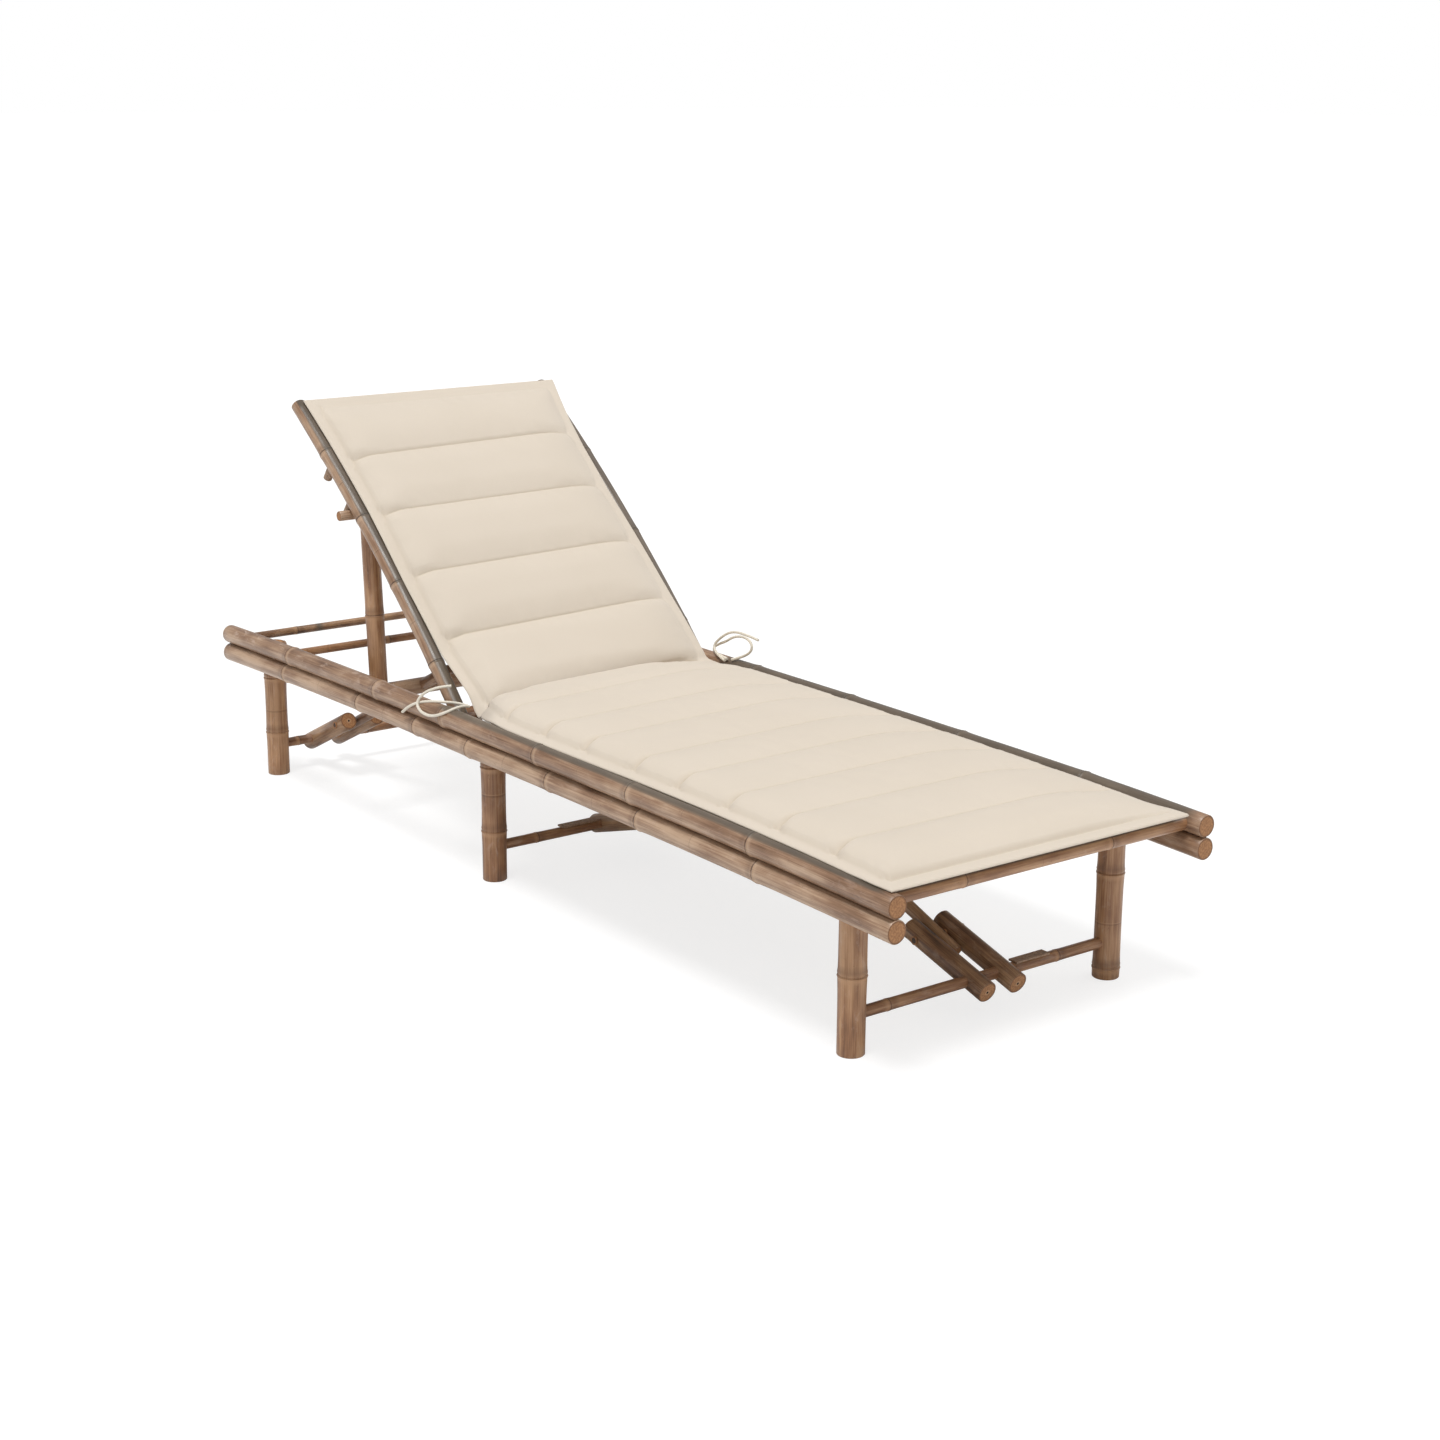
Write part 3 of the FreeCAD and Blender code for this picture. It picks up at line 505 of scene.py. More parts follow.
# Grain of wood, cord and cloth: cells per metre, detail and roughness
SAWN_GRAIN = (260.0, 4.0, 0.6)
BOLT_GRAIN = (420.0, 4.0, 0.6)
DOWEL_GRAIN = (320.0, 4.0, 0.6)
CORD_STRANDS = (900.0, 3.0, 0.6)
CLOTH_SLUB = (260.0, 4.0, 0.6)
CLOTH_BROAD = (5.0, 3.0, 0.5)
SAWN_CELLS = 1300.0
DOT_SHARE = 0.35
# Radians per metre of the weave
THREADS = 5200.0
WEAVE_SHARE = 0.5


def node_mark(distance, at, stops):
    """Strength of a mark that lies at a place beside each node"""
    away = maths("ABSOLUTE", minus(distance, at))
    return ramp(times(away, 1 / MARK_REACH), [(reach / MARK_REACH, value) for reach, value in stops])


def cane_material(name, dark, mid, light):
    """Bamboo skin: grain, pale wear with a painted highlight, specks, marks at the nodes, and painted shade
    beside the cushion with a scorch mark
    """
    mat, tree, shader = new_material(name)
    fibre, streak, blotch, weather, scuff = (
        noise_at(stretched(tree, around, along), 1.0, *rest) for around, along, *rest in CANE_PATTERNS)
    patterns = (fibre, streak, blotch, attribute(tree, "tone"))
    total = functools.reduce(plus, map(times, patterns, PATTERN_SHARES))
    colour = ramp(total, list(zip(CANE_STOPS, (dark, mid, light))))
    # Pale wear spots, brighter where a painted highlight lies on the up-facing sides of the upper rails
    spots = ramp(weather, ((0.54, 0.0), (0.68, 1.0)))
    colour = mixed(times(spots, swing(attribute(tree, "pale"), *WEAR_AND_HIGHLIGHT)), colour, CANE_PALE)
    specks = ramp(scuff, ((0.66, 0.0), (0.74, 0.7)))
    colour = mixed(specks, colour, dark)
    distance = plus(attribute(tree, "node_distance"), from_half(streak, NODE_WOBBLE))
    colour = mixed(node_mark(distance, *NODE_BAND), colour, light)
    soot = times(node_mark(distance, *NODE_SOOT), weather)
    colour = mixed(soot, colour, dark)
    line = times(node_mark(distance, *NODE_LINE), attribute(tree, "ring_mark"))
    colour = mixed(line, colour, NODE_DARK)
    # Grey-brown painted shade where the cushion lies beside the pole, and the scorch mark, with a wobbly
    # edge
    shade_and_scorch = attribute(tree, "shade_and_scorch")
    shade_and_scorch_mask = ramp(plus(shade_and_scorch, from_half(blotch, SHADE_AND_SCORCH_EDGE)), ((0.35, 0.0), (0.75, 0.82)))
    colour = mixed(times(shade_and_scorch_mask, shade_and_scorch), colour, SHADE_AND_SCORCH_COLOUR)
    height = plus(*map(times, (fibre, weather), BUMP_SHARES))
    return finished(mat, shader, colour, height, swing(weather, *SKIN_ROUGHNESS), *CANE_BUMP)


def grain_material(name, hollow):
    """Sawn end face in the scale of a NODE_D pole, with or without its pith hole"""
    mat, tree, shader = new_material(name)
    place = uv_place(tree)
    cells = tree.nodes.new("ShaderNodeTexVoronoi")
    cells.inputs["Scale"].default_value = SAWN_CELLS
    tree.links.new(place, cells.inputs["Vector"])
    dots = ramp(cells.outputs["Distance"], ((0.12, 1.0), (0.38, 0.0)))
    length = tree.nodes.new("ShaderNodeVectorMath")
    length.operation = "LENGTH"
    tree.links.new(place, length.inputs[0])
    reach = times(length.outputs["Value"], 2 / NODE_D)
    broad = noise_at(place, *SAWN_GRAIN)
    colour = ramp(broad, ((0.30, GRAIN_DARK), (0.62, GRAIN_LIGHT)))
    colour = mixed(times(dots, DOT_SHARE), colour, GRAIN_DARK)
    colour = mixed(ramp(reach, ((0.80, 0.0), (0.97, 0.8))), colour, GRAIN_RIM)
    if hollow:
        colour = mixed(ramp(reach, ((0.18, 0.7), (0.34, 0.0))), colour, PITH_RING)
        # Near-black painted shade inside the pith hole
        colour = mixed(ramp(reach, ((0.11, 1.0), (0.16, 0.0))), colour, PITH_SHADE)
    return finished(mat, shader, colour, broad, *SAWN_FINISH)


def bolt_material(name, y, z):
    """Wooden bolt whose head is dark in the middle and tan at its rim; y and z are its axis"""
    mat, tree, shader = new_material(name)
    place = object_place(tree)
    parts = parts_of(place)
    from_y = maths("POWER", minus(parts[1], y), 2.0)
    from_z = maths("POWER", minus(parts[2], z), 2.0)
    away = times(maths("SQRT", plus(from_y, from_z)), 2 / BOLT_HEAD_D)
    grain = noise_at(place, *BOLT_GRAIN)
    rim = ramp(grain, ((0.35, GRAIN_DARK), (0.65, GRAIN_LIGHT)))
    colour = mixed(ramp(away, ((0.60, 1.0), (0.72, 0.0))), rim, BOLT_DARK)
    return finished(mat, shader, colour, grain, *BOLT_FINISH)


def cloth_material():
    """Woven cotton with broad shading, slubs and darker stitch lines"""
    mat, tree, shader = new_material("cushion_cloth")
    place = object_place(tree)
    u, v, _ = parts_of(uv_place(tree))
    warp = maths("SINE", times(u, THREADS))
    weft = maths("SINE", times(v, THREADS))
    weave = plus(times(warp, weft), 1.0)
    slub = noise_at(place, *CLOTH_SLUB)
    broad = noise_at(place, *CLOTH_BROAD)
    colour = mixed(ramp(broad, ((0.35, 0.0), (0.65, 0.35))), CLOTH_COLOUR, CLOTH_SHADE)
    colour = mixed(ramp(slub, ((0.45, 0.0), (0.75, 0.22))), colour, CLOTH_SHADE)
    stitches = ramp(attribute(tree, "seam"), ((0.0, 0.0), (1.0, 0.6)))
    colour = mixed(stitches, colour, CLOTH_STITCH)
    shader.inputs["Sheen Weight"].default_value, shader.inputs["Sheen Roughness"].default_value = SHEEN
    return finished(mat, shader, colour, plus(times(weave, WEAVE_SHARE), slub), *CLOTH_FINISH)


def cord_material():
    mat, tree, shader = new_material("tie_cord")
    strands = noise_at(object_place(tree), *CORD_STRANDS)
    colour = mixed(ramp(strands, ((0.4, 0.0), (0.7, 0.5))), CORD_COLOUR, CLOTH_SHADE)
    return finished(mat, shader, colour, strands, *CORD_FINISH)


def dowel_material():
    mat, tree, shader = new_material("dowel_wood")
    grain = noise_at(object_place(tree), *DOWEL_GRAIN)
    colour = ramp(grain, ((0.35, DOWEL_DARK), (0.65, DOWEL_LIGHT)))
    return finished(mat, shader, colour, grain, *DOWEL_FINISH)


@functools.cache
def material(look):
    """The material of a look, made when first asked for"""
    if look in CANE_COLOURS:
        return cane_material(look, *CANE_COLOURS[look])
    if look in ("end_grain", "pith_grain"):
        return grain_material(look, look == "pith_grain")
    return {"cloth": cloth_material, "cord": cord_material, "dowel": dowel_material}[look]()


def paint(node, finish):
    """Give a CAD piece that keeps its shape another material"""
    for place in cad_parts[node].material_slots:
        place.material = finish


# Side rails: node, side, height and lengths of the bamboo nodes
RAILS = (
    ("upper_rail_right", -1, UPPER_Z, (0.311, 0.612, 0.877, 1.165, 1.170, 1.400, 1.730)),
    ("lower_rail_right", -1, LOWER_Z, (0.296, 0.590, 0.842, 1.085, 1.262, 1.465, 1.749)),
    ("upper_rail_left", 1, UPPER_Z, (0.255, 0.540, 0.830, 1.095, 1.345, 1.590, 1.840)),
    ("lower_rail_left", 1, LOWER_Z, (0.210, 0.480, 0.760, 1.015, 1.310, 1.560, 1.800)),
)
RAIL_BOW_UP = 0.010
FAR_RAIL_BOW_OUT = 0.004
# Painted shade on the upper rails: where the cushion lies beside them along y, and how it fades at the foot
# and at the fold
CUSHION_TOUCH_FROM = -0.985
CUSHION_TOUCH_TO = 0.190
FOOT_SHADE_FADE = 0.02
FOLD_SHADE_FADES = (0.03, 0.05)
# Painted highlight on the pale wear spots of the upper rails: where it begins along a rail, and its run
PALE_FROM = 1.05
PALE_LENGTH = 0.80
# Painted shade of the cushion on the poles beside it: shares of inward and of up in the way that it faces,
# and where it fades in by that lean
RAIL_SHADE_SHARES = (0.45, 0.89)
RAIL_SHADE_FADE = (0.10, 0.52)
BACK_SHADE_SHARES = (0.53, 0.85)
BACK_SHADE_FADE = (0.05, 0.45)
# Painted highlight on the upper rails, fading in by how far a side faces up
HIGHLIGHT_FADE = (-0.3, 0.6)
# Painted shade on the top of the foot crossbar, fading in by how far it faces up
FOOT_BAR_FADE = (0.55, 0.85)


def faded(value, low, high):
    return min(1.0, max(0.0, (value - low) / (high - low)))


def shade_lean(centre, outward, up, shares):
    """How far a spot of a side pole faces the cushion"""
    inward = -shares[0] if centre.x > 0 else shares[0]
    return (up * shares[1] + Vector((inward, 0, 0))).dot(outward)


def rail_painted_shade(centre, outward, length):
    """Painted shade on a top that lies beside the cushion"""
    before, beyond = FOLD_SHADE_FADES
    along = faded(centre.y, CUSHION_TOUCH_FROM - FOOT_SHADE_FADE, CUSHION_TOUCH_FROM + FOOT_SHADE_FADE)
    along *= 1 - faded(centre.y, CUSHION_TOUCH_TO - before, CUSHION_TOUCH_TO + beyond)
    lean = shade_lean(centre, outward, Vector((0, 0, 1)), RAIL_SHADE_SHARES)
    return faded(lean, *RAIL_SHADE_FADE) * along


# Painted highlight on the pale wear spots of an upper rail's up-facing side, towards the head
def rail_pale_highlight(centre, outward, length):
    return faded(length, PALE_FROM, PALE_FROM + PALE_LENGTH) * faded(outward.z, *HIGHLIGHT_FADE)


for count, (node, side, height, rings) in enumerate(RAILS):
    upper = height == UPPER_Z
    rail = straight((side * RAIL_X, -RAIL_HALF, height), (side * RAIL_X, RAIL_HALF, height))
    bamboo(node, "bed_frame", rail, RAIL_D, rings, seed=100 + count, kink=True,
           shade_and_scorch=rail_painted_shade if upper else None, pale=rail_pale_highlight if upper else None,
           bow=(FAR_RAIL_BOW_OUT if side > 0 else 0.0, RAIL_BOW_UP))

# Rods fixed across the frame: node, y, z, diameter, lengths of the bamboo nodes and look
SLAT_Z = 0.279
SLAT_D = 0.016
RODS = (
    ("foot_crossbar", -0.966, UPPER_Z, 0.022, (0.14, 0.43), "warm_cane"),
    ("head_crossbar_outer", 0.950, UPPER_Z, 0.0155, (0.11, 0.37), "brown_cane"),
    ("head_crossbar_inner", 0.775, UPPER_Z, 0.0155, (0.22, 0.49), "warm_cane"),
    ("brace_beam", BEAM_Y, LOWER_Z, 0.018, (), "brown_cane"),
)
SLATS_AT = (-0.750, -0.606, -0.462, -0.318, -0.174, -0.030, 0.160)
SLAT_RINGS = ((0.18,), (0.41,), (0.15, 0.50), (0.30,), (0.21,), (0.12, 0.46), (0.34,))
SLATS = tuple(("seat_slat_" + str(k + 1), y, SLAT_Z, SLAT_D, rings, "brown_cane")
              for k, (y, rings) in enumerate(zip(SLATS_AT, SLAT_RINGS)))
CHAR_FROM = 0.140
CHAR_TO = 0.175


# Painted shade of the cushion's hem on the top of the foot crossbar
def foot_bar_painted_shade(centre, outward, length):
    return faded(outward.z, *FOOT_BAR_FADE)


def charred(centre, outward, length):
    """Dark scorched stretch of the outer head crossbar"""
    return 1.0 if CHAR_FROM < length < CHAR_TO else 0.0


# Painted shade on the foot crossbar, and a scorch mark on the outer head crossbar
ROD_SHADE_AND_SCORCH = {"foot_crossbar": foot_bar_painted_shade, "head_crossbar_outer": charred}
for count, (node, y, z, d, rings, look) in enumerate(RODS + SLATS):
    bamboo(node, "bed_frame", across(ROD_END_X, y, z), d, rings, seed=200 + count, look=look,
           shade_and_scorch=ROD_SHADE_AND_SCORCH.get(node), ring_mark=0.5)

# Leg frames: name, y and lengths of the bamboo nodes on the right leg, the left leg and the stretcher
LEG_FRAMES = (
    ("foot", FOOT_LEG_Y, (0.120,), (0.016, 0.171), (0.0775, 0.418)),
    ("mid", MID_LEG_Y, (0.088, 0.203), (0.133,), (0.096, 0.431)),
    ("head", HEAD_LEG_Y, (0.085, 0.196), (0.152,), (0.055, 0.208, 0.398)),
)
for count, (name, y, right_rings, left_rings, _) in enumerate(LEG_FRAMES):
    for k, (side_name, side, rings) in enumerate((("right", -1, right_rings), ("left", 1, left_rings))):
        leg = straight((side * LEG_X, y, 0.0), (side * LEG_X, y, LEG_TOP))
        bamboo(name + "_leg_" + side_name, name + "_legs", leg, LEG_D, rings, seed=300 + 2 * count + k,
               look="warm_cane", ring_mark=0.2)
for count, (name, y, _, _, cross_rings) in enumerate(LEG_FRAMES):
    bamboo(name + "_stretcher", name + "_legs", across(STRETCHER_END_X, y, STRETCHER_Z), STRETCHER_D,
           cross_rings, seed=330 + count, look="warm_cane", ring_mark=0.5)

# Knee braces: name, y of the legs and the beam, knee's length from the stretcher, slope in degrees,
# x of the fork poles, x of the strut at the knee and the beam, its length past the beam, its end diameter
BRACES = (
    ("foot", FOOT_LEG_Y, BEAM_Y, 0.115, 16.5, (-0.0255, 0.0365), (0.0055, -0.008), 0.022, 0.025),
    ("mid", MID_LEG_Y, BEAM_Y, 0.115, 16.5, (-0.0245, 0.0375), (0.0065, 0.018), 0.022, 0.025),
    ("head", HEAD_LEG_Y, HEAD_BEAM_Y, 0.119, 25.5, (-0.171, -0.109), (-0.140, -0.140), 0.072, 0.022),
)
STRUT_RINGS = (0.19,)


def brace(count, prefix, leg_y, beam_y, knee_at, slope, fork_xs, strut_xs, past, end_d):
    """Two fork poles, their bolts' finish and the strut between them"""
    heading = 1 if beam_y > leg_y else -1
    rise = math.radians(slope)
    way = Vector((0, heading * math.cos(rise), math.sin(rise)))
    pivot = Vector((0, leg_y, STRETCHER_Z))
    low = pivot - way * FORK_TAIL
    high = low + way * FORK_LENGTH
    for side_name, fork_x in zip(("right", "left"), fork_xs):
        shift = Vector((fork_x, 0, 0))
        fork = straight(low + shift, high + shift)
        bamboo(prefix + "_fork_pole_" + side_name, prefix + "_fork", fork, FORK_D, pith=True,
               seed=400 + count * 10 + int(fork_x > 0), look="brown_cane")
    knee = pivot + way * knee_at
    paint(prefix + "_knee_bolts", bolt_material(prefix + "_knee_bolt_wood", knee.y, knee.z))
    knee_point = Vector((strut_xs[0], knee.y, knee.z))
    beam_point = Vector((strut_xs[1], beam_y, LOWER_Z))
    along = (beam_point - knee_point).normalized()
    reach = (beam_point - knee_point).length
    outline = ((0.0, STRUT_TAIL_D), (STRUT_PAST_KNEE, STRUT_KNEE_D),
               (STRUT_PAST_KNEE + reach - end_d, end_d), (STRUT_PAST_KNEE + reach + past, end_d))
    strut = straight(knee_point - along * STRUT_PAST_KNEE, beam_point + along * past)
    bamboo(prefix + "_strut", prefix + "_brace_strut", strut, STRUT_KNEE_D, STRUT_RINGS, seed=430 + count,
           outline=outline, look="brown_cane")


for count, sizes in enumerate(BRACES):
    brace(count, *sizes)
tenon = ROD_END_X - HEAD_BEAM_SHOULDER_X
beam_length = 2 * ROD_END_X
beam_outline = (
    (0.0, TENON_D), (tenon - SHOULDER_RUN, TENON_D),
    (tenon, HEAD_BEAM_D), (beam_length - tenon, HEAD_BEAM_D),
    (beam_length - tenon + SHOULDER_RUN, TENON_D), (beam_length, TENON_D),
)
head_beam = across(ROD_END_X, HEAD_BEAM_Y, LOWER_Z)
bamboo("head_beam", "head_brace_strut", head_beam, HEAD_BEAM_D, (0.26, 0.44), seed=450,
       outline=beam_outline)

# Backrest poles on a circular arc
chord_angle = math.radians(BACK_DEGREES)
chord_way = Vector((0, math.cos(chord_angle), math.sin(chord_angle)))
chord_up = Vector((0, -math.sin(chord_angle), math.cos(chord_angle)))
hinge = Vector((0, HINGE_Y, UPPER_Z))
arc_radius = (BACK_CHORD * BACK_CHORD / 4 + BACK_SAGITTA * BACK_SAGITTA) / (2 * BACK_SAGITTA)
arc_centre = hinge + chord_way * (BACK_CHORD / 2) + chord_up * (BACK_SAGITTA - arc_radius)
half_arc = math.asin(BACK_CHORD / 2 / arc_radius)
arc_length = 2 * half_arc * arc_radius
BACK_POLES = (
    ("back_pole_right", BACK_RIGHT_X, (0.125, 0.300, 0.455, 0.620)),
    ("back_pole_left", BACK_LEFT_X, (0.130, 0.345, 0.555, 0.690)),
)
BACK_BARS_AT = (0.092, 0.240, 0.388, 0.532, 0.690)
BAR_RING_FROM = 0.12
BAR_RING_STEP = 0.05
BAR_RING_LAST = 0.41


def back_outward(length):
    angle = chord_angle + math.pi / 2 + half_arc - length / arc_radius
    return Vector((0, math.cos(angle), math.sin(angle)))


def back_point(length, height):
    return arc_centre + back_outward(length) * (arc_radius + height)


def back_way(length):
    out = back_outward(length)
    return Vector((0, out.z, -out.y))


def back_painted_shade(centre, outward, length):
    """Painted shade on the side that the cushion lies on"""
    lean = shade_lean(centre, outward, back_outward(length - BACK_TAIL), BACK_SHADE_SHARES)
    return faded(lean, *BACK_SHADE_FADE)


def back_line(x):
    """Line of a backrest pole, from the end of its tail below the hinge"""
    shift = Vector((x, 0, 0))

    def place_at(t):
        return back_point(t - BACK_TAIL, 0.0) + shift, back_way(t - BACK_TAIL)

    return arc_length + BACK_TAIL, place_at


for count, (node, pole_x, rings) in enumerate(BACK_POLES):
    bamboo(node, "backrest", back_line(pole_x), BACK_D, rings, seed=500 + count, shade_and_scorch=back_painted_shade)
for count, length in enumerate(BACK_BARS_AT):
    at = back_point(length, 0.0)
    bar = straight((BACK_RIGHT_X - BAR_INSET, at.y, at.z), (BACK_LEFT_X + BAR_INSET, at.y, at.z))
    bamboo("back_bar_" + str(count + 1), "backrest", bar, BACK_BAR_D,
           (BAR_RING_FROM + BAR_RING_STEP * count, BAR_RING_LAST), seed=520 + count)

# Prop frame
rod_at = back_point(PROP_ROD_AT, -(BACK_D / 2 + PROP_ROD_D / 2 + PROP_ROD_GAP))
beam_at = Vector((0, HEAD_BEAM_Y, LOWER_Z))
prop_way = (rod_at - beam_at).normalized()
prop_start = beam_at - prop_way * PROP_PAST_BEAM
prop_end = rod_at + prop_way * PROP_PAST_ROD
for count, (node, side) in enumerate((("prop_pole_right", -1), ("prop_pole_left", 1))):
    shift = Vector((side * PROP_X, 0, 0))
    bamboo(node, "prop_frame", straight(prop_start + shift, prop_end + shift), PROP_D, (0.167,),
           seed=540 + count, look="warm_cane", ring_mark=0.5)
prop_rod = across(PROP_ROD_HALF, rod_at.y, rod_at.z)
bamboo("prop_rod", "prop_frame", prop_rod, PROP_ROD_D, (0.16, 0.44), seed=550)

# Small CAD pieces keep their shape and get a wood finish
for node in ("foot_leg_pins", "mid_leg_pins", "head_leg_pins", "back_hinge_pins",
             "back_pegs", "foot_keeper_strip", "mid_keeper_strip"):
    paint(node, material("dowel"))

# Tie cords: name, CAD node and route
TIES = (
    ("tie_right_short", "tie_cord_right", (
        (-0.270, 0.164, 0.299), (-0.285, 0.176, 0.304), (-0.303, 0.200, 0.3032), (-0.318, 0.232, 0.2998),
        (-0.329, 0.262, 0.288), (-0.328, 0.288, 0.270))),
    ("tie_right_loop", "tie_cord_right", (
        (-0.271, 0.158, 0.299), (-0.286, 0.151, 0.304), (-0.306, 0.146, 0.3038), (-0.325, 0.152, 0.2965),
        (-0.330, 0.185, 0.284), (-0.330, 0.222, 0.284), (-0.326, 0.244, 0.296), (-0.317, 0.232, 0.315),
        (-0.302, 0.214, 0.325), (-0.290, 0.205, 0.3275), (-0.281, 0.199, 0.3285))),
    ("tie_left_short", "tie_cord_left", (
        (0.290, 0.168, 0.299), (0.297, 0.198, 0.301), (0.303, 0.222, 0.314), (0.309, 0.205, 0.334),
        (0.312, 0.174, 0.351), (0.312, 0.129, 0.352), (0.310, 0.093, 0.349))),
    ("tie_left_loop", "tie_cord_left", (
        (0.296, 0.168, 0.301), (0.298, 0.192, 0.3025), (0.302, 0.213, 0.3035), (0.308, 0.2275, 0.310),
        (0.314, 0.2155, 0.3185), (0.313, 0.195, 0.3265), (0.309, 0.166, 0.342), (0.308, 0.138, 0.348),
        (0.308, 0.119, 0.3455), (0.308, 0.108, 0.336), (0.308, 0.112, 0.3235), (0.308, 0.130, 0.3125),
        (0.307, 0.150, 0.3045), (0.298, 0.158, 0.301))),
)
# The smooth cord cuts its route's corners; steps along it and around its round section
CORD_STEPS = 10
CORD_ROUNDNESS = 4
for name, node, route in TIES:
    data = bpy.data.curves.new(name, "CURVE")
    data.dimensions = "3D"
    spline = data.splines.new("NURBS")
    spline.points.add(len(route) - 1)
    for control, place in zip(spline.points, route):
        control.co = place + (1.0,)
    spline.order_u = 3
    spline.use_endpoint_u = True
    spline.resolution_u = CORD_STEPS
    data.bevel_depth = CORD_D / 2
    data.bevel_resolution = CORD_ROUNDNESS
    data.use_fill_caps = True
    data.materials.append(material("cord"))
    obj = placed(name, data)
    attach(obj, "bed_frame")
    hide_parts(node)

# Cushion: one quilted pad with a thin hem, folded once
HEM_WIDTH = 0.025
HEM_THICK = 0.005
HEM_GAP = 0.0009
HEM_LOW_Z = UPPER_Z + RAIL_D / 2 + HEM_GAP
# Rises of the pads, and of the seams on the seat, on the backrest and at the fold
PAD_RISE = 0.025
SEAM_RISES = (0.0222, 0.0165, 0.0100)
# The seams are pinched at the sides: rise there, and its reach inward
NEAR_PINCH = (0.0100, 0.035)
FAR_PINCH = (0.0040, 0.110)
FAR_RISE_SHARE = 0.46
FAR_RISE_REACH = 0.20
PAD_SINK = 0.0042
SINK_FADE = 0.03
# Half widths of the channels at those seams; most of a pad's rise is beside them
FOLD_SEAM_HALF = 0.026
SEAM_HALVES = (0.011, 0.020, FOLD_SEAM_HALF)
CHANNEL_SHARE = 0.86
CHANNEL_POWER = 2.2
# Edges of the pads: overhang on the hem, then reach of the rounding and the powers that shape it
PAD_OVERHANG = 0.006
OVERHANG_SLOPE = 1.6
NEAR_EDGE = (0.038, 2.4, 0.62)
FAR_EDGE = (0.095, 2.2, 0.72)
# Sewn line between hem and pads, and the hem's rounded rim
HEM_GROOVE = 0.0016
GROOVE_HALF = 0.0028
LINE_OVER_HEM = 0.006
STITCH_HALF = 0.0018
STITCH_SHARE = 0.6
PADDED_FROM = 0.004
RIM_ROUND = 0.003
RIM_SHARE = 0.86
RIM_LEAST = 0.00035
# Puckers at the seams and along the hem: radians per metre, shares, rise and reach
PUCKER_TURNS = (210.0, 365.0)
PUCKER_SHARES = (1.0, 0.7)
PUCKER_RISE = 0.00022
HEM_WAVE_TURNS = (150.0, 283.0)
HEM_WAVE_SHARE = 0.6
HEM_WAVE_PHASES = (1.3, 2.0)
HEM_WAVE_RISE = 0.0004
PUCKER_REACH = 0.012
# Droop of the hem on the rails: depth, where it begins, by y or from the fold, and its run
FOOT_DIP = (0.0022, -0.94, 0.05)
MIDDLE_DIP = (0.0014, -0.45, 0.25)
CORNER_DIP = (0.0090, -0.126, 0.080)
FAR_DIP = (0.0085, -1.0, 0.12)
CORNER_BEYOND = 0.050
FAR_FADE = 0.080
NEAR_DIP_REACH = 0.018
FAR_DIP_REACH = 0.026
# Lines of the hem's underside on the near and the far side
FOOT_Y = -0.992
NEAR_FOLD_Y = 0.1500
FAR_FOLD_Y = 0.2110
NEAR_FOLD_JOIN = 0.110
FAR_FOLD_JOIN = 0.0316
FOLD_TURN = 0.018
FOLD_TURN_POINTS = 41
FOLD_BEFORE_CORNER = 0.004
BOW_FADE_FROM = 0.07
BOW_FADE_LENGTH = 0.10
LINE_STEP = 0.001
SLOPE_STEP = 0.002
NEAR_SIDE_X = -0.280
FAR_SIDE_X = 0.290
BACK_HEM_LOW = BACK_D / 2
BACK_HEM_END = 0.727
# Seams as pairs, near side and far side: y on the seat, length on the backrest
SEAT_SEAMS = (
    (-0.963, -0.967), (-0.8395, -0.843), (-0.7075, -0.707), (-0.584, -0.577), (-0.460, -0.448),
    (-0.345, -0.327), (-0.208, -0.183), (-0.095, -0.061), (0.030, 0.080),
)
BACK_SEAMS = ((0.137, 0.159), (0.278, 0.296), (0.422, 0.435), (0.557, 0.576), (0.699, 0.704))
# Side edges of the hem: y on the seat or length on the backrest, and x
SEAT_NEAR = (
    (-0.992, -0.311), (-0.950, -0.313), (-0.900, -0.309), (-0.811, -0.306), (-0.567, -0.303),
    (-0.349, -0.303), (-0.162, -0.304), (-0.027, -0.305), (0.040, -0.304), (0.080, -0.300),
    (0.125, -0.289), (0.160, -0.276),
)
SEAT_FAR = (
    (-0.992, 0.275), (-0.950, 0.281), (-0.840, 0.287), (-0.600, 0.290), (-0.270, 0.292), (-0.012, 0.293),
    (0.112, 0.291), (0.174, 0.285),
)
BACK_NEAR = (
    (0.030, -0.256), (0.127, -0.255), (0.290, -0.260), (0.455, -0.257), (0.620, -0.258), (0.727, -0.260),
)
BACK_FAR = (
    (0.030, 0.276), (0.114, 0.2725), (0.177, 0.2685), (0.294, 0.2650), (0.413, 0.2610), (0.537, 0.2650),
    (0.630, 0.2750), (0.676, 0.2835), (0.727, 0.2950),
)
EDGE_MARGIN = 0.1
EDGE_SAMPLES = 1600
SMOOTH_SAMPLES = 30
SMOOTH_WIDTH = 12.0
# Grid of the cushion: spacing of its rows, more rows beside each seam, columns from each side edge
ROW_GAP = 0.0085
LEAST_ROW = 0.001
ROWS_BESIDE_SEAM = (0.0014, 0.003, 0.005, 0.008, 0.012)
EDGE_COLUMNS = (
    0.0, 0.0012, 0.0035, 0.008, 0.014, 0.020, 0.0235, 0.025, 0.0265, 0.0295, 0.034, 0.040, 0.047, 0.055,
    0.064,
)
MIDDLE_COLUMNS = 46
